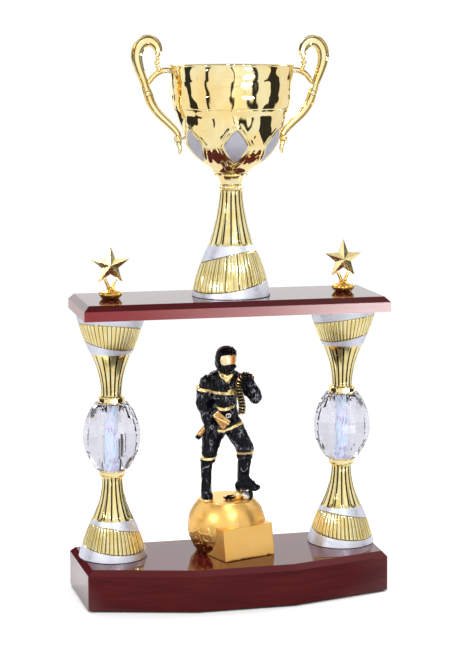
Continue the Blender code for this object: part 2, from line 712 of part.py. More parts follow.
# From, to, and the radii at both ends
FIGURE_LIMBS = (
    ("hips", "waist", 17.0, 13.5), ("waist", "chest", 14.0, 16.5), ("chest", "neck", 17.0, 8.0),
    ("neck", "head", 7.5, 9.5),
    ("planted_shoulder", "planted_elbow", 7.5, 6.8), ("planted_elbow", "planted_hand", 6.8, 5.0),
    ("raised_shoulder", "raised_elbow", 7.0, 6.6), ("raised_elbow", "raised_hand", 6.4, 5.2),
    ("planted_hip", "planted_knee", 10.5, 8.4), ("planted_knee", "planted_ankle", 7.8, 5.6),
    ("stepping_hip", "stepping_knee", 10.5, 8.8), ("stepping_knee", "stepping_ankle", 7.8, 6.2),
    ("stepping_ankle", "stepping_toe", 6.4, 3.8),
)
FIGURE_BALLS = (
    ("head", (11.5, 12.5, 12.0)), ("chest", (20.0, 11.5, 14.0)), ("hips", (18.5, 12.5, 9.0)),
    ("planted_elbow", (7.0, 7.0, 7.0)), ("raised_elbow", (6.8, 6.8, 6.8)),
    ("planted_shoulder", (8.0, 8.0, 8.0)), ("raised_shoulder", (7.8, 7.8, 7.8)),
    ("planted_knee", (8.6, 8.6, 8.0)), ("stepping_knee", (9.0, 9.0, 8.4)),
)


def figure_point(name):
    across, forward, up = FIGURE_POINTS[name]
    return STAND_AXIS + Vector((across * MM, forward * MM, GLOBE_TOP + up * MM))


def build_figure():
    """The figure as one casting: body, boots, axe and the rubble under the stepping foot."""
    sole = GLOBE_TOP + GAP
    torso = limb("firefighter", figure_point("hips"), figure_point("waist"),
                 17.0 * MM, 13.5 * MM, finish="black_resin")
    pieces = []
    for start, end, first, last in FIGURE_LIMBS[1:]:
        pieces.append(limb(start + "_limb", figure_point(start), figure_point(end),
                           first * MM, last * MM))
    for name, radii in FIGURE_BALLS:
        size = tuple(radius * MM for radius in radii)
        pieces.append(ball(name + "_ball", figure_point(name), size))
    boot = STAND_AXIS + Vector((-20.4 * MM, -11.5 * MM, sole + 5.5 * MM))
    pieces.append(box("boot", boot, (12 * MM, 19 * MM, 11 * MM)))
    rubble = STAND_AXIS + Vector((15.0 * MM, -1.0 * MM, sole + 9.0 * MM))
    pieces.append(box("rubble", rubble, (16 * MM, 14 * MM, 18 * MM), math.radians(20)))
    axe = STAND_AXIS + Vector((-5.0 * MM, -14.0 * MM, GLOBE_TOP + 81.0 * MM))
    pieces.append(box("axe_head", axe, (13 * MM, 8 * MM, 14 * MM), math.radians(15)))
    return fuse(torso, pieces)


def build_figure_pin():
    """Steel pin that joins the planted boot to the globe."""
    place = STAND_AXIS + Vector((-20.4 * MM, -9.0 * MM, 0))
    low = GLOBE_TOP - PIN_REACH
    high = GLOBE_TOP + PIN_REACH
    rod("figure_pin", PIN_RADIUS, low, high, 8, "steel", place)
    return rod("figure_pin_hole", PIN_RADIUS + GAP, low - GAP, high + GAP, 8, None, place)


# ---------------------------------------------------------------- assembly

clear_scene()
PARTS = make_collection("award_trophy")
CUTTERS = make_collection("cutters")
MATERIALS = make_materials()

build_boards()
for column_side, column_axis in column_axes().items():
    build_column(column_side, column_axis)
    build_star(column_side, column_axis)
build_cup()
build_cup_stud()
stand = build_stand()
build_stand_hardware()
figure = build_figure()
pin_hole = build_figure_pin()
cut(stand, pin_hole)
cut(figure, pin_hole)
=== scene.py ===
"""Looks of the two-column firefighter award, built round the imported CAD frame.

Lengths in the piece builders are in millimetres; meshes are scaled to metres when they are
made. Directions round an upright axis are in degrees from +X, counter-clockwise from above.
"""

import math

import bmesh
import bpy
from mathutils import Matrix, Vector, noise
from mathutils.bvhtree import BVHTree


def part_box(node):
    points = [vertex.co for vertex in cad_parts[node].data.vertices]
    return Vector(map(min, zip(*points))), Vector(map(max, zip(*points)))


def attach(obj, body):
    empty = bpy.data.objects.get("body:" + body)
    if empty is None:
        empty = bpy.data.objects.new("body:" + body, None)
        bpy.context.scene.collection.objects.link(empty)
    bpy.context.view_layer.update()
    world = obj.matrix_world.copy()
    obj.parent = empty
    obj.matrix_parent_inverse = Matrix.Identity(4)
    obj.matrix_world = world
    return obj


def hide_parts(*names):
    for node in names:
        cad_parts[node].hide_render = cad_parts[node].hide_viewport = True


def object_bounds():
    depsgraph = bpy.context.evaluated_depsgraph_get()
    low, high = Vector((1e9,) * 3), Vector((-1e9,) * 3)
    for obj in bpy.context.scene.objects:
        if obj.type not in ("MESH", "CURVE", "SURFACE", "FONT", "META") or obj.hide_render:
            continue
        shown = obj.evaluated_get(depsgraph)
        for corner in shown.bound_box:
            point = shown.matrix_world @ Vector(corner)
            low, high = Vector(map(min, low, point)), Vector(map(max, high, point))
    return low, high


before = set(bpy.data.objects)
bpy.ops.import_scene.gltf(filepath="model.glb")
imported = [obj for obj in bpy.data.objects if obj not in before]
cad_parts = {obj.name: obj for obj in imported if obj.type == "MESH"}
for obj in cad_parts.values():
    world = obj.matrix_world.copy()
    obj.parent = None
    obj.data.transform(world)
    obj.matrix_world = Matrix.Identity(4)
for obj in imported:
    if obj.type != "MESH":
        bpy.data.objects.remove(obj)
CAD_LOW, CAD_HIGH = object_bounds()

MM = 0.001
FRONT = 256.5                     # the side that faces the camera
SCENE = bpy.context.scene


def box_mm(node):
    low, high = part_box(node)
    return low / MM, high / MM


def foot_mm(node):
    """Point on a node's upright axis at its lowest level."""
    low, high = box_mm(node)
    return Vector(((low.x + high.x) / 2, (low.y + high.y) / 2, low.z))


def height_mm(node):
    low, high = box_mm(node)
    return high.z - low.z


# ---------------------------------------------------------------- camera, light and floor

# Fitted to the photo: the camera's place in millimetres, and the ways to it, across and level
CAMERA_PLACE = Vector((-437.7, -1820.9, 571.5))
FOCAL_LENGTH, SENSOR_WIDTH = 98.37, 36.0
NEAREST, FURTHEST = 0.1, 20.0
TOWARD = Vector((-0.2301, -0.9606, 0.1557)).normalized()
ACROSS = Vector((0.9725, -0.2329, 0.0)).normalized()
FORWARD = Vector((TOWARD.x, TOWARD.y, 0.0)).normalized()


def build_camera():
    data = bpy.data.cameras.new("view")
    data.lens, data.sensor_width = FOCAL_LENGTH, SENSOR_WIDTH
    data.clip_start, data.clip_end = NEAREST, FURTHEST
    camera = bpy.data.objects.new("view", data)
    turn = Matrix((ACROSS, TOWARD.cross(ACROSS), TOWARD)).transposed().to_4x4()
    camera.matrix_world = Matrix.Translation(CAMERA_PLACE * MM) @ turn
    SCENE.collection.objects.link(camera)
    SCENE.camera = camera


# Bright panels and the dark gaps between them, as (direction round the object, brightness)
# pairs; 0 is towards the camera and positive is to its right.
STUDIO_RING = (
    (-180, 1.2), (-152, 1.15), (-151, 0.03), (-139, 0.03), (-138, 0.95), (-97, 1.0),
    (-96, 0.03), (-77, 0.03), (-76, 1.0), (-49, 0.95), (-48, 0.03), (-38.5, 0.03), (-37.5, 0.95),
    (-2.5, 1.1), (-1.5, 0.03), (1.5, 0.03), (2.5, 1.25), (36, 1.05), (38.5, 0.03), (46, 0.03),
    (47.5, 0.95), (76, 1.0), (77, 0.03), (96, 0.03), (97, 0.9), (138, 0.95), (139, 0.03),
    (151, 0.03), (152, 1.15), (180, 1.2),
)
# What shows through the cut crystals: pale, with a few narrow dark strips
CRYSTAL_RING = (
    (-180, 0.9), (-164, 0.9), (-163.5, 0.06), (-161, 0.06), (-160.5, 0.88), (-141, 0.88),
    (-140, 0.05), (-134, 0.05), (-133, 0.9), (-96, 0.9), (-95, 0.1), (-90, 0.1), (-89, 0.9),
    (72, 0.9), (73, 0.1), (79, 0.1), (80, 0.9), (124, 0.9), (125, 0.06), (130, 0.06),
    (131, 0.88), (156, 0.88), (156.5, 0.06), (160, 0.06), (160.5, 0.9), (180, 0.9),
)
# The ring just below the horizon, where the shelf's front mirrors one long strip light
LOW_RING = (
    (-180, 1.0), (-97, 1.0), (-96, 0.03), (-77, 0.03), (-76, 1.0), (-49, 0.95), (-48, 0.03),
    (-38.5, 0.03), (-37.5, 0.95), (-2.5, 1.0), (-1.5, 0.03), (1.5, 0.03), (2.5, 1.0), (24, 1.0),
    (28.5, 6.0), (31, 15.0), (36, 19.0), (38.5, 0.03), (46, 0.03), (47.5, 0.95), (76, 1.0),
    (77, 0.03), (96, 0.03), (97, 0.9), (180, 1.0),
)
LOW_BAND = ((-0.22, 0.0), (-0.19, 1.0), (-0.12, 1.0), (-0.09, 0.0))
# Brightness by height, from -1 straight down to 1 straight up, and where it takes over
CEILING = ((-1.0, 1.0), (0.45, 1.0), (0.9, 0.5), (0.95, 0.42), (0.98, 0.12), (1.0, 0.1))
OVERHEAD = ((-1, 0), (0.5, 0), (0.8, 1), (1, 1))
BACKDROP_LEVEL = 1.04


def combine(tree, operation, *items):
    """The output of a Math node fed with other nodes' outputs."""
    node = tree.nodes.new("ShaderNodeMath")
    node.operation = operation
    for item, socket in zip(items, node.inputs):
        tree.links.new(item, socket)
    return node.outputs["Value"]


def grey_ramp(tree, source, stops, low, high, top):
    """Grey read from (place, level) stops, with places from low to high and levels to top."""
    share = tree.nodes.new("ShaderNodeMapRange")
    share.inputs["From Min"].default_value = low
    share.inputs["From Max"].default_value = high
    tree.links.new(source, share.inputs["Value"])
    ramp = tree.nodes.new("ShaderNodeValToRGB")
    elements = ramp.color_ramp.elements
    elements.remove(elements[0])
    for number, (place, level) in enumerate(stops):
        place = (place - low) / (high - low)
        element = elements[0] if number == 0 else elements.new(place)
        element.position = place
        element.color = (level / top, level / top, level / top, 1)
    tree.links.new(share.outputs["Result"], ramp.inputs["Fac"])
    return ramp.outputs["Color"]


def build_world():
    """Panels all round, a darker ceiling, and a plain backdrop for the camera."""
    world = bpy.data.worlds.new("studio")
    SCENE.world = world
    world.use_nodes = True
    tree = world.node_tree
    tree.nodes.clear()
    add, link = tree.nodes.new, tree.links.new

    def background(colour, strength=1.0):
        node = add("ShaderNodeBackground")
        node.inputs["Strength"].default_value = strength
        if colour:
            link(colour, node.inputs["Color"])
        else:
            node.inputs["Color"].default_value = (1, 1, 1, 1)
        return node.outputs["Background"]

    def ring(stops):
        top = max(level for _, level in stops)
        return background(grey_ramp(tree, turn, stops, -180, 180, top), top)

    def by_height(stops):
        return grey_ramp(tree, height, stops, -1, 1, 1.0)

    def mix(share, first, second):
        node = add("ShaderNodeMixShader")
        for item, socket in zip((share, first, second), node.inputs):
            link(item, socket)
        return node.outputs["Shader"]

    coords = add("ShaderNodeTexCoord").outputs["Generated"]
    parts = []
    for direction in (ACROSS, FORWARD, Vector((0, 0, 1))):
        dot = add("ShaderNodeVectorMath")
        dot.operation = "DOT_PRODUCT"
        dot.inputs[1].default_value = direction
        link(coords, dot.inputs[0])
        parts.append(dot.outputs["Value"])
    height = parts[2]
    turn = combine(tree, "DEGREES", combine(tree, "ARCTAN2", parts[0], parts[1]))
    path = add("ShaderNodeLightPath").outputs
    seen = mix(by_height(OVERHEAD), ring(STUDIO_RING), background(by_height(CEILING)))
    seen = mix(by_height(LOW_BAND), seen, ring(LOW_RING))
    seen = mix(path["Is Transmission Ray"], seen, ring(CRYSTAL_RING))
    plain = combine(tree, "MAXIMUM", path["Is Camera Ray"], path["Is Diffuse Ray"])
    output = add("ShaderNodeOutputWorld")
    link(mix(plain, seen, background(None, BACKDROP_LEVEL)), output.inputs["Surface"])


LAMP_DISTANCE = 1.3
# Turn to the camera's right, height in degrees, side of the square face and power
LAMPS = (
    (-44, 18, 0.08, 3.2), (23, 33, 0.08, 3.2), (8, 62, 0.08, 2.4), (-150, 40, 0.3, 6.0),
    (120, 35, 0.3, 6.0),
)


def build_lamps():
    middle = (CAD_LOW + CAD_HIGH) / 2
    for number, (turn, height, side, power) in enumerate(LAMPS):
        turn, height = math.radians(turn), math.radians(height)
        level = FORWARD * math.cos(turn) + ACROSS * math.sin(turn)
        away = level * math.cos(height) + Vector((0, 0, math.sin(height)))
        data = bpy.data.lights.new(f"softbox_{number}", "AREA")
        data.size = side
        data.energy = power
        lamp = bpy.data.objects.new(f"softbox_{number}", data)
        lamp.location = middle + away * LAMP_DISTANCE
        lamp.rotation_euler = away.to_track_quat("Z", "Y").to_euler()
        SCENE.collection.objects.link(lamp)


# ---------------------------------------------------------------- finishes

def rgb(*display):
    """Linear colour from display values of 0 to 255."""
    return tuple(
        value / 255 / 12.92 if value <= 10 else ((value / 255 + 0.055) / 1.055) ** 2.4
        for value in display
    )


FINISHES = {}


class Finish:
    """A Principled material with procedural variation added through its methods."""

    def __init__(self, name, colour, roughness, metallic=0.0, **sockets):
        material = bpy.data.materials.new(name)
        material.use_nodes = True
        FINISHES[name] = material
        self.tree = material.node_tree
        self.shader = self.tree.nodes["Principled BSDF"]
        self.set("Base Color", (*colour, 1.0))
        self.set("Roughness", roughness)
        self.set("Metallic", metallic)
        for socket, value in sockets.items():
            self.set(socket.replace("_", " "), value)

    def set(self, socket, value):
        self.shader.inputs[socket].default_value = value

    def link(self, source, target):
        self.tree.links.new(source, target)

    def pattern(self, size, stretch=(1, 1, 1), detail=3.0, warp=0.0, shift=0.0):
        """Noise of about that feature size in millimetres, stretched along the axes."""
        coords = self.tree.nodes.new("ShaderNodeTexCoord")
        mapping = self.tree.nodes.new("ShaderNodeMapping")
        mapping.inputs["Scale"].default_value = [1 / share for share in stretch]
        mapping.inputs["Location"].default_value = (shift, shift * 0.7, shift * 0.3)
        texture = self.tree.nodes.new("ShaderNodeTexNoise")
        texture.inputs["Scale"].default_value = 1 / (size * MM)
        texture.inputs["Detail"].default_value = detail
        texture.inputs["Distortion"].default_value = warp
        self.link(coords.outputs["Object"], mapping.inputs["Vector"])
        self.link(mapping.outputs["Vector"], texture.inputs["Vector"])
        return texture.outputs["Fac"]

    def box_share(self, axis):
        """0 to 1 across the object's own box, from the left or the bottom."""
        coords = self.tree.nodes.new("ShaderNodeTexCoord")
        parts = self.tree.nodes.new("ShaderNodeSeparateXYZ")
        self.link(coords.outputs["Generated"], parts.inputs["Vector"])
        return parts.outputs[axis]

    def attribute(self, name):
        node = self.tree.nodes.new("ShaderNodeAttribute")
        node.attribute_name = name
        return node.outputs["Fac"]

    def ramp(self, source, stops):
        node = self.tree.nodes.new("ShaderNodeValToRGB")
        elements = node.color_ramp.elements
        for element, (place, colour) in zip(elements, stops):
            element.position = place
            element.color = (*colour, 1)
        for place, colour in stops[2:]:
            elements.new(place).color = (*colour, 1)
        self.link(source, node.inputs["Fac"])
        return node.outputs["Color"]

    def blend(self, share, first, second, colour=True):
        """Mix two colours or numbers; each is a value or another node's output."""
        node = self.tree.nodes.new("ShaderNodeMix")
        node.data_type = "RGBA" if colour else "FLOAT"
        start, end = (6, 7) if colour else (2, 3)
        for index, item in ((0, share), (start, first), (end, second)):
            if isinstance(item, bpy.types.NodeSocket):
                self.link(item, node.inputs[index])
            elif colour and index:
                node.inputs[index].default_value = (*item, 1)
            else:
                node.inputs[index].default_value = item
        return node.outputs[2 if colour else 0]

    def mask(self, source, *stops):
        """A grey ramp through (place, level) stops."""
        return self.ramp(source, [(place, (level,) * 3) for place, level in stops])

    def tint(self, source, *stops):
        self.link(self.ramp(source, stops), self.shader.inputs["Base Color"])

    def cover(self, share, item, socket="Base Color"):
        """Lay another colour or number over what drives a socket, by a share."""
        target = self.shader.inputs[socket]
        under = target.links[0].from_socket
        self.link(self.blend(share, under, item, socket == "Base Color"), target)

    def gloss(self, source, low, high):
        node = self.tree.nodes.new("ShaderNodeMapRange")
        node.inputs["From Min"].default_value = 0.3
        node.inputs["From Max"].default_value = 0.7
        node.inputs["To Min"].default_value = low
        node.inputs["To Max"].default_value = high
        self.link(source, node.inputs["Value"])
        self.link(node.outputs["Result"], self.shader.inputs["Roughness"])

    def relief(self, source, depth, strength=1.0):
        node = self.tree.nodes.new("ShaderNodeBump")
        node.inputs["Distance"].default_value = depth * MM
        node.inputs["Strength"].default_value = strength
        self.link(source, node.inputs["Height"])
        self.link(node.outputs["Normal"], self.shader.inputs["Normal"])


GOLD = rgb(252, 220, 146)
GOLD_PALE = rgb(248, 236, 186)
GOLD_DEEP = rgb(240, 214, 132)
# Painted shade: the near-black gold laid into the valleys of the ribs and the neck grooves
GROOVE_PAINTED_SHADE = rgb(34, 25, 6)
SILVER = rgb(222, 225, 238)
INLAY = rgb(198, 198, 210)
INLAY_ROUGHNESS = 0.55
# Where the bevel starts on each board, as a share of its thickness
BEVEL_SHARE = {"base_lacquer": 0.871, "shelf_lacquer": 0.647}


def metal(name, low, high, roughness, patch=30, shift=0.0):
    """Plated metal with slow changes of tone and a faint haze."""
    finish = Finish(name, low, roughness, 1.0)
    finish.tint(finish.pattern(patch, shift=shift), (0.3, low), (0.7, high))
    finish.gloss(finish.pattern(2.5, detail=5.0, shift=shift), roughness * 0.7, roughness * 1.5)
    return finish


# Painted reflections: patches of floor, darker or brighter, that only mirrors see; centre and half
# size in metres, and where they start to fade and end
DARK_REFLECTION_PATCH = ((-0.02, -0.14), (0.26, 0.085))
BRIGHT_REFLECTION_PATCH = ((-0.245, 0.03), (0.085, 0.16))
REFLECTION_PATCH_CORE, REFLECTION_PATCH_REACH = 0.85, 1.25
# Floor colours painted into reflections: as mirrors and crystals see it, and on the two patches
FLOOR_PAINTED_REFLECTION = (0.6, 0.6, 0.6)
FLOOR_DARK_REFLECTION = (0.1, 0.1, 0.1)
FLOOR_BRIGHT_REFLECTION = (0.95, 0.95, 0.95)


def add_painted_reflection(ground, reflection_patch, colour):
    """Paint a reflection: give a patch of the floor another colour that only mirrors see."""
    new = ground.tree.nodes.new
    (middle_x, middle_y), (half_x, half_y) = reflection_patch
    mapping = new("ShaderNodeMapping")
    mapping.inputs["Location"].default_value = (-middle_x / half_x, -middle_y / half_y, 0)
    mapping.inputs["Scale"].default_value = (1 / half_x, 1 / half_y, 0)
    ground.link(new("ShaderNodeTexCoord").outputs["Object"], mapping.inputs["Vector"])
    reach = new("ShaderNodeVectorMath")
    reach.operation = "LENGTH"
    ground.link(mapping.outputs["Vector"], reach.inputs[0])
    edge = new("ShaderNodeMapRange")
    edge.inputs["From Min"].default_value = REFLECTION_PATCH_REACH
    edge.inputs["From Max"].default_value = REFLECTION_PATCH_CORE
    ground.link(reach.outputs["Value"], edge.inputs["Value"])
    mirrored = new("ShaderNodeLightPath").outputs["Is Glossy Ray"]
    ground.cover(combine(ground.tree, "MULTIPLY", mirrored, edge.outputs["Result"]), colour)


# Plated or painted metals: both tones, roughness, size of the changes of tone and their shift,
# then size, stretch, detail and depth of the relief
PLAIN_METALS = {
    "mirror_gold": ((GOLD, GOLD_PALE, 0.055, 30, 0), (9.0, (1, 1, 1), 1.0), 0.05),
    "silver_band": ((SILVER, rgb(232, 234, 244), 0.44, 30, 5), (0.35, (1, 1, 1), 3.0), 0.004),
    "zinc_steel": ((rgb(176, 178, 180), rgb(204, 205, 206), 0.3, 4, 0),
                   (0.6, (1, 1, 4), 3.0), 0.02),
    "plain_brass": ((rgb(206, 168, 92), rgb(226, 190, 116), 0.28, 5, 0),
                    (0.7, (1, 1, 1), 3.0), 0.02),
    "figure_gold": ((rgb(240, 200, 116), rgb(255, 240, 190), 0.3, 3, 0),
                    (1.3, (1, 1, 1), 3.0), 0.12),
    "figure_bronze": ((rgb(158, 102, 54), rgb(240, 186, 122), 0.32, 3, 0),
                      (1.1, (1, 1, 1), 3.0), 0.12),
    "figure_silver": ((rgb(206, 206, 210), rgb(246, 246, 248), 0.3, 3, 0),
                      (1.0, (1, 1, 1), 3.0), 0.12),
}


def make_golds():
    """The golds with a second tone: stars, visor, bowl, handles, risers and globe."""
    star = metal("star_gold", rgb(252, 226, 152), rgb(255, 240, 184), 0.2, patch=9)
    # painted shade: the stem and foot are darkened to tone down their highlight
    star.cover(star.mask(star.box_share("Z"), (0.3, 1), (0.4, 0)), rgb(216, 170, 84))
    star.relief(star.pattern(1.2, detail=3.0), 0.03)

    visor = metal("visor_gold", rgb(255, 240, 206), rgb(255, 226, 174), 0.3, patch=6)
    # painted reflection: the visor turns orange towards its right part
    side = visor.mask(visor.box_share("X"), (0.0, 0), (0.95, 0), (0.58, 0), (0.66, 1), (0.88, 1))
    visor.cover(side, rgb(240, 168, 92))
    visor.relief(visor.pattern(6.0, detail=1.0), 0.05)

    bowl = metal("bowl_gold", GOLD, GOLD_PALE, 0.05, shift=3.0)
    inlay = bowl.mask(bowl.attribute("inlay"), (0.495, 0), (0.505, 1))
    bowl.cover(inlay, INLAY)
    bowl.cover(inlay, INLAY_ROUGHNESS, "Roughness")
    bowl.relief(bowl.pattern(14.0, stretch=(1, 1, 0.8), detail=1.0, warp=0.4), 0.11)

    strap = metal("strap_gold", GOLD, GOLD_PALE, 0.07, patch=18, shift=1.0)
    # painted shade: a dark line along the channel of the strap
    strap.cover(strap.attribute("groove"), rgb(84, 64, 24))
    strap.relief(strap.pattern(5.0, detail=1.0), 0.05)

    ribs = metal("ribbed_gold", GOLD_DEEP, GOLD_PALE, 0.09, patch=10)
    # painted shade darkens the rib valleys and neck grooves
    ribs.cover(ribs.mask(ribs.attribute("groove"), (0.15, 0), (0.75, 1)), GROOVE_PAINTED_SHADE)
    ribs.relief(ribs.pattern(2.4, stretch=(1, 1, 5), detail=2.0), 0.03)

    antique = metal("antique_gold", rgb(255, 196, 104), rgb(255, 210, 126), 0.34, patch=22)
    # painted reflection: brown on the low land of the globe stands for a dark reflection
    antique.cover(antique.mask(antique.attribute("relief"), (0.0, 0), (1.0, 1)),
                  rgb(150, 92, 44))
    antique.gloss(antique.pattern(12.0), 0.31, 0.37)
    antique.relief(antique.pattern(6.0, detail=2.0), 0.02)


def make_lacquers():
    """Gloss lacquer over stained wood, with painted light and shade as another colour on the top
    face and its bevel.
    """
    # The last colour in each row is painted light and shade for the top face and its bevel
    for name, dark, light, top in (
        ("base_lacquer", rgb(62, 12, 14), rgb(80, 20, 22), rgb(78, 16, 20)),
        ("shelf_lacquer", rgb(104, 18, 22), rgb(126, 28, 32), rgb(66, 11, 15)),
    ):
        lacquer = Finish(name, dark, 0.05, IOR=1.52)
        lacquer.tint(lacquer.pattern(5.0, stretch=(16, 3, 1), detail=5.0, warp=0.3),
                     (0.3, dark), (0.7, light))
        bevel = BEVEL_SHARE[name]
        # painted light and shade: the top face and its bevel take the top colour
        painted_top_share = lacquer.mask(lacquer.box_share("Z"), (bevel - 0.02, 0), (bevel + 0.01, 1))
        lacquer.cover(painted_top_share, top)
        lacquer.gloss(lacquer.pattern(3.0, stretch=(8, 2, 1), detail=4.0), 0.04, 0.1)
        lacquer.relief(lacquer.pattern(20.0, stretch=(3, 1, 1), detail=1.0), 0.02)


def make_floor():
    """Pale floor, painted softer in mirrors and crystals, with a dark and a bright patch that only
    mirrors see: painted reflections.
    """
    ground = Finish("studio_floor", (0.97, 0.97, 0.97), 0.9)
    ground.tint(ground.pattern(60.0), (0.3, (0.96, 0.96, 0.96)), (0.7, (0.985, 0.985, 0.985)))
    path = ground.tree.nodes.new("ShaderNodeLightPath").outputs
    ground.cover(combine(ground.tree, "MAXIMUM", path["Is Glossy Ray"],
                         path["Is Transmission Ray"]), FLOOR_PAINTED_REFLECTION)
    add_painted_reflection(ground, DARK_REFLECTION_PATCH, FLOOR_DARK_REFLECTION)
    add_painted_reflection(ground, BRIGHT_REFLECTION_PATCH, FLOOR_BRIGHT_REFLECTION)


def make_finishes():
    for name, ((low, high, roughness, patch, shift), relief, depth) in PLAIN_METALS.items():
        plated = metal(name, low, high, roughness, patch, shift)
        plated.relief(plated.pattern(*relief), depth)
    make_golds()
    make_lacquers()
    make_floor()

    crystal = Finish("cut_crystal", rgb(234, 234, 245), 0.0, Transmission_Weight=1.0, IOR=1.5)
    crystal.gloss(crystal.pattern(4.0, detail=2.0), 0.0, 0.02)
    crystal.relief(crystal.pattern(7.0, detail=2.0), 0.02)

    # The foil glows with its own tint: painted light, as it is no lamp
    foil = Finish("iridescent_foil", rgb(220, 226, 232), 0.3, 0.3, Emission_Strength=0.5)
    foil.tint(
        foil.pattern(1.9, stretch=(1, 1, 7), detail=4.0, warp=0.4),
        (0.30, rgb(150, 156, 170)), (0.70, rgb(252, 248, 254)), (0.40, rgb(244, 246, 250)),
        (0.47, rgb(180, 228, 242)), (0.52, rgb(250, 250, 252)), (0.57, rgb(232, 212, 244)),
        (0.62, rgb(140, 146, 160)),
    )
    # its tint also feeds the painted glow
    foil.link(foil.shader.inputs["Base Color"].links[0].from_socket,
              foil.shader.inputs["Emission Color"])
    foil.relief(foil.pattern(0.9, stretch=(1, 1, 8), detail=3.0), 0.25)

    felt = Finish("green_felt", rgb(28, 60, 40), 0.95, Sheen_Weight=0.6)
    felt.tint(felt.pattern(0.8, detail=6.0), (0.3, rgb(18, 42, 28)), (0.7, rgb(44, 82, 58)))
    felt.relief(felt.pattern(0.5, detail=6.0), 0.25)

    enamel = Finish("black_enamel", rgb(14, 14, 18), 0.16, Specular_IOR_Level=0.14)
    enamel.tint(enamel.pattern(8.0, detail=4.0), (0.35, rgb(2, 2, 4)), (0.8, rgb(20, 21, 30)))
    # painted glints: pale lines on the fold crests stand in for highlights
    enamel.cover(enamel.attribute("painted_glint"), rgb(178, 180, 192))
    enamel.gloss(enamel.pattern(4.0, detail=3.0), 0.1, 0.18)
    enamel.relief(enamel.pattern(3.4, stretch=(1, 1, 2.2), detail=2.0, warp=0.5), 0.32)


# ---------------------------------------------------------------- mesh helpers

def polar(radius, degrees, level):
    angle = math.radians(degrees)
    return (radius * math.cos(angle), radius * math.sin(angle), level)


def steps(first, last, count):
    return [first + (last - first) * number / (count - 1) for number in range(count)]


def fraction(value):
    return value - math.floor(value)


def smooth(low, high, value):
    share = max(0.0, min(1.0, (value - low) / (high - low)))
    return share * share * (3 - 2 * share)


def bump(value, middle, width):
    """A rounded bump of height 1 round a middle."""
    return math.exp(-((value - middle) / width) ** 2)


def scatter(number):
    """A fixed pseudo-random value from 0 to 1 for a whole number."""
    return fraction(math.sin(number * 12.9898 + 4.1) * 43758.5453)


def loose_object(name, form, finishes=()):
    """Turn a working mesh into an object in the scene."""
    mesh = bpy.data.meshes.new(name)
    form.to_mesh(mesh)
    form.free()
    for finish in finishes:
        mesh.materials.append(FINISHES[finish])
    piece = bpy.data.objects.new(name, mesh)
    SCENE.collection.objects.link(piece)
    return piece


def mesh_piece(name, form, finishes, place, body, nodes=(), sharp=35):
    """Close the working mesh into an object that rides on a body. sharp None is flat."""
    bmesh.ops.recalc_face_normals(form, faces=form.faces)
    bmesh.ops.scale(form, vec=(MM, MM, MM), verts=form.verts)
    piece = loose_object(name, form, finishes)
    if sharp is not None:
        piece.data.shade_smooth()
        piece.data.set_sharp_from_angle(angle=math.radians(sharp))
    piece.location = Vector(place) * MM
    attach(piece, body)
    if nodes:
        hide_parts(*nodes)


def skin(rings, wrap=False, zones=None, values=None, value_name=None, form=None):
    """Quads between rings of points. wrap joins the last ring to the first one."""
    form = form or bmesh.new()
    layer = None
    if value_name:
        layers = form.verts.layers.float
        layer = layers.get(value_name) or layers.new(value_name)
    made = []
    for row, ring in enumerate(rings):
        made.append([form.verts.new(point) for point in ring])
        if values:
            for vert, value in zip(made[-1], values[row]):
                vert[layer] = value
    count = len(rings[0])
    pairs = list(zip(made, made[1:]))
    if wrap:
        pairs.append((made[-1], made[0]))
    for row, (upper, lower) in enumerate(pairs):
        for k in range(count):
            after = (k + 1) % count
            face = form.faces.new((upper[k], upper[after], lower[after], lower[k]))
            if zones:
                face.material_index = zones[row]
    if not wrap:
        form.faces.new(made[0])
        form.faces.new(made[-1])
    return form


def circle(count):
    """Directions in degrees of evenly spaced points."""
    return [360 * k / count for k in range(count)]


def oval_points(middle, side, front, count):
    """Points round a middle, from the two half axes of an oval."""
    angles = (2 * math.pi * k / count for k in range(count))
    return [middle + side * math.cos(angle) + front * math.sin(angle) for angle in angles]


def add_ball(form, centre, radii, segments=20, rings=12):
    made = bmesh.ops.create_uvsphere(form, u_segments=segments, v_segments=rings, radius=1.0)
    radii = radii if isinstance(radii, (tuple, list)) else (radii,) * 3
    matrix = Matrix.Translation(centre) @ Matrix.Diagonal((*radii, 1))
    bmesh.ops.transform(form, matrix=matrix, verts=made["verts"])
    return made["verts"]


def add_bar(form, start, end, first, last, sides=14, flat=1.0, face=(0, -1, 0)):
    """A tapered bar, optionally flattened towards the face direction."""
    start, end = Vector(start), Vector(end)
    run = end - start
    side = run.cross(Vector(face)).normalized()
    front = side.cross(run).normalized()
    return skin([oval_points(point, side * radius, front * radius * flat, sides)
                 for point, radius in ((start, first), (end, last))], form=form)


def sweep(route, section, form=None, face=Vector((0, 1, 0))):
    """Carry a (side, face, groove) section along (point, width, depth) stations; the groove value is
    kept for painted shade.
    """
    rings = []
    values = [[groove for _, _, groove in section]] * len(route)
    last = len(route) - 1
    for number, (point, width, depth) in enumerate(route):
        before = route[max(0, number - 1)][0]
        after = route[min(last, number + 1)][0]
        run = (after - before).normalized()
        side = run.cross(face).normalized()
        front = side.cross(run).normalized()
        rings.append([point + side * a * width + front * b * depth for a, b, _ in section])
    return skin(rings, values=values, value_name="groove", form=form)


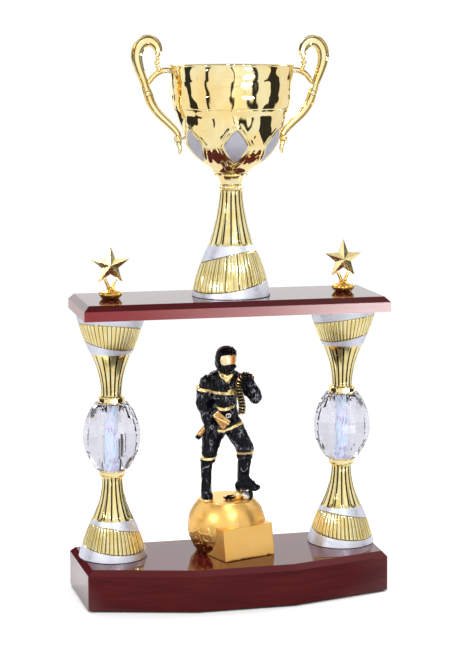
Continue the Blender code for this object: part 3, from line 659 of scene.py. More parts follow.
def curve_through(points, per_span):
    """Points on a Catmull-Rom curve through tuples of any length."""
    ends = [[2 * a - b for a, b in zip(points[0], points[1])], *points,
            [2 * a - b for a, b in zip(points[-1], points[-2])]]
    route = []
    for a, b, c, d in zip(ends, ends[1:], ends[2:], ends[3:]):
        for step in range(per_span):
            t = step / per_span
            route.append([
                0.5 * (2 * q + (r - p) * t + (2 * p - 5 * q + 4 * r - s) * t ** 2
                       + (3 * q - p - 3 * r + s) * t ** 3)
                for p, q, r, s in zip(a, b, c, d)
            ])
    route.append(list(points[-1]))
    return route


def facet(degrees, count, phase=0.0):
    """How far in a regular polygon's side lies at a direction, as a share of its radius."""
    half = math.pi / count
    turn = math.radians(degrees - phase) % (2 * half)
    return math.cos(half) / math.cos(turn - half)


# ---------------------------------------------------------------- risers and collars

RISER_SHELL = 2.0
ROD_HOLE = 3.4
COLUMN_RISER = {
    "cone": 40.0, "foot": 36.0, "waist": 22.0, "neck": 10.9, "bulge": 0.71, "hollow": 2.0,
    "ribs": 44,
}
CUP_RISER = {
    "cone": 53.0, "foot": 41.0, "waist": 23.5, "neck": 12.1, "bulge": 0.48, "hollow": 1.6,
    "ribs": 48,
}
# Silver bands: mean height, swing and the direction of the highest point. The first pair is
# the foot band and the second the band that hangs below the neck.
LOWER_BANDS = ((12.0, 5.3, 125.0), (10.4, 6.1, 31.5))
LEFT_UPPER_BANDS = ((12.0, 5.3, 46.0), (9.5, 5.4, 140.0))
RIGHT_UPPER_BANDS = ((12.0, 5.3, 150.0), (9.5, 5.4, 20.0))
CUP_BANDS = ((12.9, 8.1, 27.5), (13.8, 8.2, 126.0))
NECK_PANELS = 16
NECK_GROOVE, NECK_GROOVE_REACH = 0.6, 1.25
NECK_FLATNESS = 1.9               # 1 would give true flats
# Ribs: lean from one side to the other, height and sink as shares of the pitch, round ends
RIB_LEAN, RIB_HEIGHT, RIB_SINK, RIB_END = 0.16, 0.21, 0.17, 1.6
RISER_COLUMNS = 352
# How far down its zone each row of the ribs and of a silver band is
RIB_ROWS = (0.0, 0.012, 0.03, 0.06, 0.1, 0.2, 0.35, 0.5, 0.65, 0.8, 0.9, 0.94, 0.97, 0.988, 1.0)
UPPER_BAND_ROWS = (0.02, 0.2, 0.4, 0.6, 0.8, 0.98)
LOWER_BAND_ROWS = (0.02, 0.2, 0.4, 0.6, 0.8, 0.97)


def riser_radius(shape, height, level):
    cone = shape["cone"]
    if level >= cone:
        share = (height - level) / (height - cone)
        return shape["neck"] + (shape["waist"] - shape["neck"]) * share ** shape["hollow"]
    share = level / cone
    bulge = shape["bulge"]
    drop = bulge * share + (1 - bulge) * share * share
    return shape["foot"] + (shape["waist"] - shape["foot"]) * drop


def swing(band, degrees):
    mean, size, towards = band
    return mean + size * math.cos(math.radians(degrees - towards))


def neck_relief(degrees, radius, share):
    """Flat panels with a fine groove between them, fading out at both ends of the neck; the second
    value lays painted shade into the groove.
    """
    place = fraction((degrees - FRONT) / 360 * NECK_PANELS)
    reach = min(place, 1 - place) * 2 * math.pi * radius / NECK_PANELS
    ends = smooth(0.0, 0.03, share) * smooth(1.0, 0.985, share)
    groove = max(0.0, 1 - reach / NECK_GROOVE_REACH) ** 0.6
    flat = (1 - facet(degrees, NECK_PANELS, FRONT)) * radius * NECK_FLATNESS
    return -(NECK_GROOVE * groove * ends + flat * ends), groove * ends


def rib_relief(degrees, radius, count, from_top, from_bottom):
    """Rounded ribs with deep valleys and round ends; the second value marks the valley for painted
    shade.
    """
    place = degrees / 360 * count
    across = 2 * fraction(place) - 1
    number = math.floor(place) % count
    lean = RIB_LEAN * (scatter(number) - 0.5)
    dome = math.sqrt(max(0.0, 1 - (across + lean * (1 - across * across)) ** 2))
    pitch = 2 * math.pi * radius / count
    ends = 1.0
    for reach in (from_top, from_bottom):
        if reach < RIB_END:
            ends *= math.sqrt(max(0.0, 1 - (1 - reach / RIB_END) ** 2))
    tall = RIB_HEIGHT * pitch * (0.8 + 0.35 * scatter(number + 70))
    return tall * (dome * ends) - RIB_SINK * pitch, max(0.0, 1 - 2.2 * dome * ends)


def build_riser(name, node, body, shape, bands, inverted=False):
    height = height_mm(node)
    cone = shape["cone"]
    columns = circle(RISER_COLUMNS)
    rings, zones, values = [], [], []

    def add_ring(zone, maker):
        made = [maker(degrees) for degrees in columns]
        rings.append([
            polar(radius, degrees, height - level if inverted else level)
            for degrees, (radius, level, _) in zip(columns, made)
        ])
        values.append([value for _, _, value in made])
        zones.append(zone)

    def neck(degrees, share):
        level = height - (height - cone) * share
        radius = riser_radius(shape, height, level)
        offset, groove = neck_relief(degrees, radius, share)
        return radius + offset, level, groove

    def plain(level):
        return riser_radius(shape, height, level), level, 0.0

    def ribbed(degrees, share):
        top = cone - swing(bands[1], degrees)
        bottom = swing(bands[0], degrees)
        level = top + (bottom - top) * share
        radius = riser_radius(shape, height, level)
        offset, groove = rib_relief(degrees, radius, shape["ribs"], top - level, level - bottom)
        return radius + offset - 0.2, level, groove

    for share in steps(0.0, 1.0, 19):
        add_ring(0, lambda degrees: neck(degrees, share))
    zones[-1] = 1
    for share in UPPER_BAND_ROWS:
        add_ring(1, lambda degrees: plain(cone - swing(bands[1], degrees) * share))
    zones[-1] = 0
    for share in RIB_ROWS:
        add_ring(0, lambda degrees: ribbed(degrees, share))
    zones[-1] = 0
    for share in LOWER_BAND_ROWS:
        add_ring(1, lambda degrees: plain(swing(bands[0], degrees) * (1 - share)))
    add_ring(1, lambda degrees: (shape["foot"] - 0.5, 0.0, 0.0))
    inside = [
        (riser_radius(shape, height, level) - RISER_SHELL, level - RISER_SHELL)
        for level in (RISER_SHELL, cone, *steps(cone, height - 2.0, 10)[1:])
    ]
    inside[0] = (shape["foot"] - RISER_SHELL, 0.0)
    inside += [(ROD_HOLE, height - 4.0), (ROD_HOLE, height), (shape["neck"] - 0.5, height)]
    for radius, level in inside:
        add_ring(0, lambda degrees: (radius, level, 0.0))
    form = skin(rings, True, zones, values, "groove")
    mesh_piece(name, form, ("ribbed_gold", "silver_band"), foot_mm(node), body,
               (node,), sharp=50)


# Rows of radius, level and how far the row takes on its sides or beads
COLLAR_ROWS = (
    (13.3, 0.0, 0), (13.8, 0.3, 0), (13.8, 0.9, 0), (13.1, 1.3, 0), (13.1, 1.5, 0),
    (13.75, 1.9, 1), (13.75, 3.6, 1), (13.75, 5.3, 1), (13.1, 5.7, 0), (13.1, 5.9, 0),
    (13.8, 6.3, 0), (13.8, 6.9, 0), (13.3, 7.2, 0), (ROD_HOLE, 7.2, 0), (ROD_HOLE, 0.0, 0),
)
CUP_COLLAR_ROWS = (
    (11.2, 0.0, 0.0), (11.6, 0.25, 0.0), (11.6, 0.7, 0.0), (10.9, 1.0, 0.2), (11.4, 1.5, 0.6),
    (11.8, 2.2, 0.9), (11.95, 2.8, 1.0), (11.8, 3.4, 0.9), (11.4, 4.1, 0.6), (10.9, 4.6, 0.2),
    (11.3, 4.9, 0.0), (11.3, 5.35, 0.0), (10.9, 5.6, 0.0), (ROD_HOLE, 5.6, 0.0),
    (ROD_HOLE, 0.0, 0.0),
)
SOCKET_ROWS = (
    (11.0, 0.0, 0.2), (10.9, 0.6, 0.6), (11.4, 1.6, 1.0), (12.6, 4.4, 1.0), (14.2, 7.4, 1.0),
    (15.0, 8.6, 0.7), (15.2, 8.9, 0.0), (16.4, 9.2, 0.0), (17.3, 9.8, 0.0), (17.5, 10.5, 0.0),
    (17.1, 11.2, 0.0), (15.8, 11.5, 0.0), (15.2, 11.8, 0.0), (ROD_HOLE, 11.8, 0.0),
    (ROD_HOLE, 0.0, 0.0),
)
COLLAR_SIDES, COLLAR_BEADS, BEAD_DEPTH = 12, 14, 0.9


def twelve_sided(degrees, radius, share):
    return radius * (1 + (facet(degrees, COLLAR_SIDES, FRONT) - 1) * share)


def beaded(degrees, radius, share):
    across = 2 * fraction((degrees - FRONT) / 360 * COLLAR_BEADS) - 1
    return radius + BEAD_DEPTH * share * (math.sqrt(max(0.0, 1 - across * across)) - 0.55)


def build_turned_ring(name, node, body, rows, outline, columns, sharp):
    """A plated ring turned from rows, which outline gives their sides or beads."""
    top = max(level for _, level, _ in rows)
    height = height_mm(node)
    rings = [[polar(outline(FRONT + turn, radius, share), FRONT + turn, level * height / top)
              for turn in circle(columns)] for radius, level, share in rows]
    mesh_piece(name, skin(rings, True), ("mirror_gold",), foot_mm(node), body,
               (node,), sharp=sharp)


# ---------------------------------------------------------------- crystals

CRYSTAL_FACETS = 14
CRYSTAL_LEVELS = (
    (34.85, 17.5, 0.0), (27.5, 22.6, 0.5), (15.5, 28.3, 0.0), (4.5, 30.5, 0.0),
    (-4.5, 30.5, 0.0), (-15.5, 28.3, 0.0), (-27.5, 22.6, 0.5), (-34.85, 17.5, 0.0),
)
CRYSTAL_BORE = 7.4
SLEEVE_RADIUS, SLEEVE_CRINKLE, SLEEVE_BORE, SLEEVE_COLUMNS = 6.65, 0.32, 5.8, 72


def build_crystal(side):
    """Cut crystal: long upright facets in the middle and triangular ones at both ends."""
    node = side + "_crystal"
    height = height_mm(node)
    form = bmesh.new()

    def row_of(radius, level, shift=0.0):
        return [form.verts.new(polar(radius, FRONT + 360 / CRYSTAL_FACETS * (k + shift), level))
                for k in range(CRYSTAL_FACETS)]

    rows = [row_of(radius, level + height / 2, shift) for level, radius, shift in CRYSTAL_LEVELS]
    shifts = [shift for _, _, shift in CRYSTAL_LEVELS]
    for row, (upper, lower) in enumerate(zip(rows, rows[1:])):
        for k in range(CRYSTAL_FACETS):
            after = (k + 1) % CRYSTAL_FACETS
            if shifts[row] == shifts[row + 1]:
                form.faces.new((upper[k], upper[after], lower[after], lower[k]))
            elif shifts[row] < shifts[row + 1]:
                form.faces.new((upper[k], upper[after], lower[k]))
                form.faces.new((upper[after], lower[after], lower[k]))
            else:
                form.faces.new((upper[k], lower[after], lower[k]))
                form.faces.new((upper[k], upper[after], lower[after]))
    bore = [row_of(CRYSTAL_BORE, level) for level in (height, 0.0)]
    for outer, inner in ((rows[0], bore[0]), (bore[0], bore[1]), (bore[1], rows[-1])):
        for k in range(CRYSTAL_FACETS):
            after = (k + 1) % CRYSTAL_FACETS
            form.faces.new((outer[k], outer[after], inner[after], inner[k]))
    mesh_piece(side + "_cut_crystal", form, ("cut_crystal",), foot_mm(node), "frame",
               (node,), sharp=None)


def build_sleeve(side):
    """Crinkled foil tube in the crystal's bore."""
    node = side + "_crystal_sleeve"
    height = height_mm(node)
    columns = circle(SLEEVE_COLUMNS)

    def crinkle(degrees, number):
        x, y, _ = polar(4, degrees, 0)
        return SLEEVE_CRINKLE * noise.noise(Vector((x, y, number * 0.12)))

    rings = [[polar(SLEEVE_RADIUS + crinkle(degrees, number), degrees, level)
              for degrees in columns] for number, level in enumerate(steps(0.0, height, 60))]
    rings += [[polar(SLEEVE_BORE, degrees, level) for degrees in columns]
              for level in (height, 0.0)]
    mesh_piece(side + "_foil_sleeve", skin(rings, True), ("iridescent_foil",), foot_mm(node),
               "frame", (node,), sharp=60)


# ---------------------------------------------------------------- cup

BOWL_STATIONS = (
    (0, 18), (3, 20.8), (7, 27), (12, 33.8), (19, 40.5), (27, 45.9), (35, 49.5), (46, 53.7),
    (57, 56.9), (66, 59.3), (76, 61.3), (92, 63), (104.5, 63.7), (108.6, 64.1),
)
BOWL_WALL = 1.3
BOWL_COLUMNS = 432
INLAY_FACING = 262.6
INLAY_HALF_WIDTH = 12.2
INLAY_LOW, INLAY_HIGH = 12.0, 45.0
SEAM = 65.5
BELT = 14.2                       # height of each pressed belt above the seam
BELT_SWELL = 0.34
# Relief round the lozenges: height, distance from the middle and width of both ridges
INLAY_SWELL, INLAY_SINK = 1.5, 0.55
INLAY_RIDGE, INLAY_OUTER_RIDGE = (0.75, 1.16, 0.085), (0.35, 1.46, 0.07)
# Hammered dents: depth and scale of the large and the small ones
DENT_DEPTHS, DENT_SCALES = (0.95, 0.3), (1.0, 2.3)


def bowl_radius(level):
    for (low, inner), (high, outer) in zip(BOWL_STATIONS, BOWL_STATIONS[1:]):
        if level <= high:
            return inner + (outer - inner) * max(0.0, level - low) / (high - low)
    return BOWL_STATIONS[-1][1]


def bowl_base(level):
    """The bowl's outer radius, with the joints between stations smoothed."""
    reach = 2.2
    return sum(bowl_radius(max(0.0, level + step * reach / 2)) for step in (-2, -1, 0, 1, 2)) / 5


def inlay_distance(degrees, level, radius):
    """1 on the outline of the nearest lozenge and less inside it."""
    turn = (degrees - INLAY_FACING + 30) % 60 - 30
    across = abs(math.radians(turn)) * radius / INLAY_HALF_WIDTH
    middle = (INLAY_LOW + INLAY_HIGH) / 2
    along = abs(level - middle) / ((INLAY_HIGH - INLAY_LOW) / 2)
    return (across ** 1.2 + along ** 1.2) ** (1 / 1.2)


def bowl_relief(degrees, level, radius):
    """Offset of the pressed pattern from the plain bowl, and how deep in an inlay it is."""
    distance = inlay_distance(degrees, level, radius)
    belts = (level - SEAM) / BELT
    if level < SEAM:
        fade = smooth(SEAM, SEAM - 8, level) * smooth(0, 8, level)
        swell = INLAY_SWELL * smooth(2.3, 0.9, distance)
        ridge, outer = [height * bump(distance, middle, width)
                        for height, middle, width in (INLAY_RIDGE, INLAY_OUTER_RIDGE)]
        sink = -INLAY_SINK * smooth(1.05, 0.92, distance)
        offset = fade * (swell - 1.2) + ridge + outer * fade + sink
    else:
        arch = BELT_SWELL * math.sin(math.pi * fraction(belts)) ** 0.8
        offset = arch * smooth(SEAM + 43, SEAM + 38, level)
        offset += 0.25 * smooth(SEAM, SEAM + 0.6, level) - 0.35
    height = level / 26 + (0.3 * math.floor(belts) if level > SEAM else 0.0)
    place = Vector(polar(3.4, degrees, height))
    large, small = place * DENT_SCALES[0], place * DENT_SCALES[1] + Vector((7, 0, 0))
    dents = DENT_DEPTHS[0] * noise.noise(large) + DENT_DEPTHS[1] * noise.noise(small)
    offset += dents * smooth(108, 103, level) * smooth(1.0, 1.5, distance) * smooth(2, 14, level)
    return offset, 1.0 - smooth(0.96, 1.04, distance)


# Radius and level of the rolled rim, then of the hole in the bowl's floor
BOWL_RIM = ((64.75, 109.3), (64.9, 109.9), (64.6, 110.35), (63.9, 110.4), (63.2, 110.1),
            (62.6, 109.2))
BOWL_FLOOR = ((14.0, 3.4), (ROD_HOLE, 3.4), (ROD_HOLE, 0.0), (15.0, 0.0))
RIM_TOP = 110.4


def build_bowl():
    height = height_mm("cup_bowl")
    columns = circle(BOWL_COLUMNS)
    rings, values = [], []

    def add_plain(radius_of, level):
        rings.append([polar(radius_of(degrees), degrees, level) for degrees in columns])
        values.append([0.0] * BOWL_COLUMNS)

    levels = steps(0.0, 12.0, 9)[:-1] + steps(12.0, 46.0, 41)[:-1] + steps(46.0, 64.8, 14)
    levels += [65.2, 65.6, 66.1] + steps(67.0, 108.6, 40)
    for level in levels:
        base = bowl_base(level)
        made = [bowl_relief(degrees, level, base) for degrees in columns]
        rings.append([polar(base + offset, degrees, level)
                      for degrees, (offset, _) in zip(columns, made)])
        values.append([value for _, value in made])
    for radius, level in BOWL_RIM:
        add_plain(lambda degrees: radius, level * height / RIM_TOP)
    for level in steps(107.5, 5.5, 44):
        base = bowl_base(level) - BOWL_WALL * (1.0 + 0.9 * smooth(40, 8, level))
        add_plain(lambda degrees: base + 0.5 * bowl_relief(degrees, level, base)[0] - 0.3, level)
    for radius, level in BOWL_FLOOR:
        add_plain(lambda degrees: radius, level)
    form = skin(rings, True, values=values, value_name="inlay")
    mesh_piece("cup_bowl_pressed", form, ("bowl_gold",), foot_mm("cup_bowl"), "cup",
               ("cup_bowl",), sharp=60)


# Centre lines in the cup's front plane: across, level and half width
HANDLE_EAR = (
    (85.4, 519.0, 2.4), (88.2, 528.0, 3.6), (91.8, 538.5, 4.4), (95.9, 549.5, 5.0),
    (98.2, 560.0, 5.8), (96.7, 569.0, 6.2), (91.9, 575.2, 6.3), (85.0, 577.0, 6.1),
    (78.9, 573.6, 5.4), (75.9, 567.4, 4.2), (76.6, 561.8, 2.6),
)
HANDLE_ARM = (
    (54.6, 470.5, 2.4), (56.2, 483.0, 3.4), (65.2, 493.2, 3.9), (75.4, 502.8, 4.3),
    (83.0, 513.4, 4.6), (87.0, 524.0, 4.7), (90.2, 533.5, 3.8),
)
HANDLE_DEPTH = 0.8                # thickness of the strap as a share of its width
HANDLE_THINNEST = 0.6
HANDLE_TAIL = ((55.6, 474.0, 2.6), (53.6, 468.0, 2.2), (54.4, 462.2, 1.2))
HANDLE_BRACKET = (
    (61.8, 546.2, 2.4), (66.0, 547.2, 2.9), (73.0, 546.4, 3.0), (80.0, 542.2, 2.9),
    (86.4, 534.4, 2.4),
)
HANDLE_BEADS = (
    (76.7, 559.6, 2.5), (77.3, 555.4, 3.1), (76.6, 551.2, 2.4), (75.2, 548.2, 2.9),
    (87.2, 523.6, 3.4), (56.0, 477.6, 4.2),
)


def strap_section(points=36):
    """Closed section with two raised rims and a shallow channel on each face; the third value marks
    the channel for painted shade.
    """
    section = []
    for k in range(points):
        angle = 2 * math.pi * (k + 0.5) / points
        across = math.copysign(abs(math.cos(angle)) ** 0.8, math.cos(angle))
        rim = 0.40 + 0.42 * bump(abs(across), 0.74, 0.15)
        groove = bump(abs(across), 0.5, 0.13)
        section.append((across, math.copysign(rim * abs(math.sin(angle)) ** 0.35,
                                              math.sin(angle)), groove))
    return section


def build_handle(word, side):
    node = word + "_handle"
    axis = foot_mm("cup_riser")
    form = bmesh.new()
    strap = strap_section()
    round_bar = [(x, 0.8 * y, 0.0) for x, y, _ in (polar(1.0, turn, 0) for turn in circle(16))]
    for points, section in ((HANDLE_EAR, strap), (HANDLE_ARM, strap), (HANDLE_TAIL, round_bar),
                            (HANDLE_BRACKET, strap)):
        route = [(Vector((side * across, 0, level)), max(HANDLE_THINNEST, half),
                  max(HANDLE_THINNEST, half * HANDLE_DEPTH))
                 for across, level, half in curve_through(points, 6)]
        sweep(route, section, form)
    for across, level, radius in HANDLE_BEADS:
        add_ball(form, (side * across, 0, level), (radius, 0.85 * radius, radius))
    mesh_piece(node + "_casting", form, ("strap_gold",), Vector((axis.x, axis.y, 0)), "cup",
               (node,), sharp=45)


# ---------------------------------------------------------------- stars

STAR_RADIUS, STAR_NOTCH = 21.0, 8.8
STAR_CENTRE = 34.1                # above the underside of the foot
STAR_EDGE, STAR_RIDGE = 0.6, 4.8  # half thickness at the outline and at the middle
STAR_FOOT = (
    (8.6, 0), (9.6, 0.8), (10.6, 2.2), (11.2, 3.6), (11.3, 4.9), (10.4, 6.4), (8.6, 7.6),
    (5.6, 8.6), (4.2, 9.4), (3.4, 10.6), (2.6, 12.0),
)
STAR_BEADS = 10
BEAD_RING, BEAD_LEVEL, BEAD_RADII = 9.75, 4.6, (2.3, 2.3, 2.5)
# The right half of the forked stem: start, end, radii, sides and flatness of its bars
STEM_BARS = (
    ((1.4, 10.6), (6.4, 21.6), 1.7, 1.45, 12, 0.7), ((5.4, 21.4), (8.6, 19.9), 1.2, 0.9, 10, 0.9),
)


def add_star_plate(form):
    middles = [form.verts.new((0, face * STAR_RIDGE, STAR_CENTRE)) for face in (-1, 1)]
    points = [polar(STAR_NOTCH if k % 2 else STAR_RADIUS, 90 - 36 * k, 0) for k in range(10)]
    front, back = [
        [form.verts.new((across, face * STAR_EDGE, STAR_CENTRE + up)) for across, up, _ in points]
        for face in (-1, 1)
    ]
    for k in range(10):
        after = (k + 1) % 10
        form.faces.new((middles[0], front[k], front[after]))
        form.faces.new((middles[1], back[after], back[k]))
        form.faces.new((front[k], back[k], back[after], front[after]))


def build_star(side):
    """Ridged star on a forked stem that grows out of a beaded foot."""
    node = side + "_star"
    form = bmesh.new()
    add_star_plate(form)
    for direction in (-1, 1):
        for (near, low), (far, high), *shape in STEM_BARS:
            add_bar(form, (direction * near, 0, low), (direction * far, 0, high), *shape)
        add_ball(form, (direction * 2.6, 0, 11.2), 1.6, 14, 8)
    rounded = curve_through(STAR_FOOT, 3)
    skin([[polar(radius, turn, level) for turn in circle(60)]
          for radius, level in ((0.05, 0), *rounded, (0.05, 12.4))], form=form)
    for k in range(STAR_BEADS):
        centre = polar(BEAD_RING, FRONT + 14 + 360 / STAR_BEADS * k, BEAD_LEVEL)
        add_ball(form, centre, BEAD_RADII, 16, 10)
    mesh_piece(side + "_star_casting", form, ("star_gold",), foot_mm(node),
               side + "_finial", (node,), sharp=24)


# ---------------------------------------------------------------- boards and hardware

def dress(node, finish, bevel=0.0):
    """Give a CAD node its finish and, if asked, softened edges."""
    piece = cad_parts[node]
    for place in piece.material_slots:
        place.material = FINISHES[finish]
    if bevel:
        softened = piece.modifiers.new("softened_edges", "BEVEL")
        softened.width = bevel * MM
        softened.segments = 3
        softened.limit_method = "ANGLE"
        softened.angle_limit = math.radians(30)
        softened.harden_normals = True


def dress_frame():
    dress("base_board", "base_lacquer", 0.5)
    dress("top_board", "shelf_lacquer", 0.4)
    dress("base_felt", "green_felt")
    for node in ("left_star_insert", "right_star_insert", "stand_insert"):
        dress(node, "plain_brass")
    paired = ("tie_rod", "rod_washer", "rod_nut", "handle_screw_upper", "handle_screw_lower")
    for node in (*("left_" + part for part in paired), *("right_" + part for part in paired),
                 "cup_stud", "cup_stud_lower_nut", "cup_stud_lower_washer",
                 "cup_stud_upper_nut", "cup_stud_upper_washer", "stand_bolt",
                 "stand_bolt_washer", "figure_pin"):
        dress(node, "zinc_steel")


# ---------------------------------------------------------------- globe stand

GLOBE_RADIUS = 41.0
GLOBE_MIDDLE = 26.4               # above the base
BLOCK_SIZE = (61.0, 38.3, 33.0)
BLOCK_FRONT = -46.3
BLOCK_LEAN = 5.3
STAND_TURN = math.radians(19.4)
BLOCK_EDGE = 0.7
CHIP_HEIGHT, CHIP_IN, CHIP_UP = 2.0, 1.6, 1.1  # of the rough lower front edge
BORE_RADIUS, BORE_DEPTH = 4.3, 22.0
POLE_RADIUS = 0.5                 # of the smallest ring on the axis
GLOBE_TOP_RADII = (POLE_RADIUS, 8.0, 16.0, 22.0, 26.0, 28.0)
GLOBE_FOOT_RADIUS = 30.6
COAST_SINK = 0.35                 # how far the sea lies under the globe's radius
# Continents: direction, level above the base and reach
LANDS = ((211, 7, 22), (146, 27, 25), (8, 30, 25), (95, 38, 24), (60, 14, 22), (115, 6, 16))


def stand_axis():
    axis = foot_mm("stand_insert")
    return Vector((axis.x, axis.y, box_mm("globe_stand")[0].z))


def land(point):
    """Height of the coast ridge at a point of the globe, and how much painted dark reflection, a
    brown on the low land, lies there.
    """
    inland = -1.0
    for degrees, level, reach in LANDS:
        radius = math.sqrt(max(1.0, GLOBE_RADIUS ** 2 - (level - GLOBE_MIDDLE) ** 2))
        middle = Vector(polar(radius, degrees, level))
        inland = max(inland, 1 - (point - middle).length / reach)
    ragged = noise.noise(point * 0.11) + 0.45 * noise.noise(point * 0.31)
    inland += 0.42 * ragged - 0.12
    ridge = bump(inland, 0.02, 0.035)
    inner = abs(noise.noise(point * 0.17 + Vector((9, 4, 2))))
    peaks = smooth(0.03, 0.12, inland) * smooth(0.12, 0.0, inner)
    dry = smooth(0.02, 0.06, inland)
    # painted reflection: brown on the land, only low on the globe and off the peaks
    painted_brown_reflection = dry * smooth(19, 11, point.z) * (1 - 0.9 * smooth(0.25, 0.8, peaks))
    return 0.55 * ridge + 0.7 * peaks + 0.15 * dry, painted_brown_reflection


def globe_form(height):
    top = math.degrees(math.asin((height - GLOBE_MIDDLE) / GLOBE_RADIUS))
    bottom = math.degrees(math.asin(-GLOBE_MIDDLE / GLOBE_RADIUS))
    profile = [(radius, height) for radius in GLOBE_TOP_RADII]
    for angle in steps(top - 0.8, bottom + 0.6, 84):
        radius, rise, _ = polar(GLOBE_RADIUS, angle, 0)
        profile.append((radius, GLOBE_MIDDLE + rise))
    profile += [(GLOBE_FOOT_RADIUS, 0.0), (BORE_RADIUS, 0.0), (BORE_RADIUS, BORE_DEPTH),
                (POLE_RADIUS, BORE_DEPTH)]
    return skin([[polar(radius, degrees, level) for degrees in range(360)]
                 for radius, level in profile])


def block_form():
    """The nameplate block, with its front leaning back and a slightly rough casting edge."""
    form = bmesh.new()
    bmesh.ops.create_cube(form, size=1.0)
    width, depth, height = BLOCK_SIZE
    for vert in form.verts:
        vert.co = Vector((vert.co.x * width, vert.co.y * depth, vert.co.z * height))
        vert.co += Vector((0, BLOCK_FRONT + depth / 2, height / 2))
        if vert.co.z > height / 2 and vert.co.y < BLOCK_FRONT + 1:
            vert.co.y += BLOCK_LEAN
    bmesh.ops.bevel(form, geom=form.edges[:], offset=BLOCK_EDGE, segments=3, profile=0.6,
                    affect="EDGES")
    bmesh.ops.subdivide_edges(form, edges=[edge for edge in form.edges
                                           if edge.calc_length() > 20],
                              cuts=40, use_grid_fill=True)
    for vert in form.verts:
        if vert.co.z < CHIP_HEIGHT and vert.co.y < BLOCK_FRONT + 3:
            bite = max(0.0, noise.noise(Vector((vert.co.x * 0.55, 3.1, 0.2))))
            vert.co.y += CHIP_IN * bite * (1 - vert.co.z / CHIP_HEIGHT)
            vert.co.z += CHIP_UP * bite * (1 - vert.co.z / CHIP_HEIGHT)
    bmesh.ops.rotate(form, matrix=Matrix.Rotation(STAND_TURN, 3, "Z"), verts=form.verts)
    return form


def evaluated_form(piece):
    """The working mesh of an object with its modifiers applied."""
    form = bmesh.new()
    form.from_object(piece, bpy.context.evaluated_depsgraph_get())
    return form


def build_globe_stand():
    height = height_mm("globe_stand")
    forms = globe_form(height), block_form()
    for form in forms:
        bmesh.ops.recalc_face_normals(form, faces=form.faces)
    globe, block = [loose_object(name, form)
                    for name, form in zip(("globe_cage", "block_cage"), forms)]
    joined = globe.modifiers.new("joined", "BOOLEAN")
    joined.operation = "UNION"
    joined.solver = "EXACT"
    joined.object = block
    form = evaluated_form(globe)
    for cage in (globe, block):
        bpy.data.objects.remove(cage)
    centre = Vector((0, 0, GLOBE_MIDDLE))
    layer = form.verts.layers.float.new("relief")
    for vert in form.verts:
        away = vert.co - centre
        on_ball = abs(away.length - GLOBE_RADIUS) < 0.05 and 0.3 < vert.co.z < height - 0.5
        if on_ball:
            # the second value is the painted dark reflection on the low land
            raised, dry = land(vert.co)
            vert.co += away.normalized() * (raised - COAST_SINK)
            vert[layer] = dry
    mesh_piece("globe_stand_casting", form, ("antique_gold",), stand_axis(), "figure",
               ("globe_stand",), sharp=32)


# ---------------------------------------------------------------- firefighter figure
# Places on the figure are (across to the viewer's right, forward to the viewer, level above
# the globe's flat top)

# Level, middle, half width and half depth of the coat
COAT_RINGS = (
    (140, -0.6, 7.5, 7.0), (136.5, -1.2, 10.0, 8.0), (133, -4.2, 15.4, 9.4),
    (126, -5.7, 18.2, 11.0), (118, -4.0, 15.6, 12.0), (108, -3.7, 14.3, 11.5),
    (98, -2.8, 13.4, 10.5), (92, -1.9, 13.7, 10.5), (84, -2.0, 15.5, 11.5), (77, -1.3, 18.0, 13.0),
)
HEM_LEVELS = ((-19, 71.5), (-3, 69.5), (17, 77.5))
# Chains of (across, forward, level, radius)
LIMBS = (
    # planted leg, cuff and boot shaft
    ((-9.0, 0, 77, 10.6), (-14.8, 2, 66.7, 10.6), (-17.2, 3, 54.8, 9.0), (-18.1, 5, 49.0, 8.5)),
    ((-18.5, 5, 47, 7.4), (-21.1, 7, 37, 6.3), (-21.3, 9, 20.7, 5.4), (-21.3, 10.5, 9.1, 5.8)),
    ((-21.2, 7.5, 6.2, 5.7), (-20.9, 12, 6.0, 6.0), (-20.4, 16.5, 5.4, 5.9)),
    # stepping leg, boot shaft and foot
    ((6.5, 1, 78, 10.6), (12.4, 4, 66.7, 9.6), (18.6, 7, 55.8, 9.4), (19.4, 8, 53.0, 9.1)),
    ((18.9, 7, 48, 7.8), (18.9, 7, 41.5, 7.3), (17.6, 6, 26.0, 6.4), (17.3, 6, 19.0, 6.0)),
    ((13.6, 6, 14.6, 4.9), (19.0, 6.5, 16.4, 5.9), (26.0, 7.5, 14.9, 4.6), (32.0, 8, 12.6, 2.9)),
    ((17.4, 6.2, 24.0, 6.0), (21.5, 6.8, 19.6, 5.0), (27.0, 7.6, 15.4, 4.0)),
    # arms
    ((-19.8, 0, 123.8, 8.0), (-24.6, 1, 114, 7.4), (-25.0, 2, 102.7, 6.9),
     (-21.2, 5, 91.3, 6.4), (-17.4, 8, 80.5, 6.5), (-13.5, 10.5, 76.0, 5.3)),
    ((11.0, 0, 127.5, 7.6), (22.0, 2, 118, 7.2), (30.3, 4, 108.4, 7.0), (27.5, 8, 118, 6.0),
     (22.6, 10, 128.5, 4.6)),
    ((-3.0, -1, 131, 9.0), (-1.0, 0, 142, 8.2)),
)
# Rolled cuffs above the boots: middle, half height and radii
CUFFS = (
    ((-19.6, 6, 41.8), 3.2, (8.2, 8.0)),
    ((18.9, 7.5, 46.4), 3.4, (8.8, 8.4)),
)
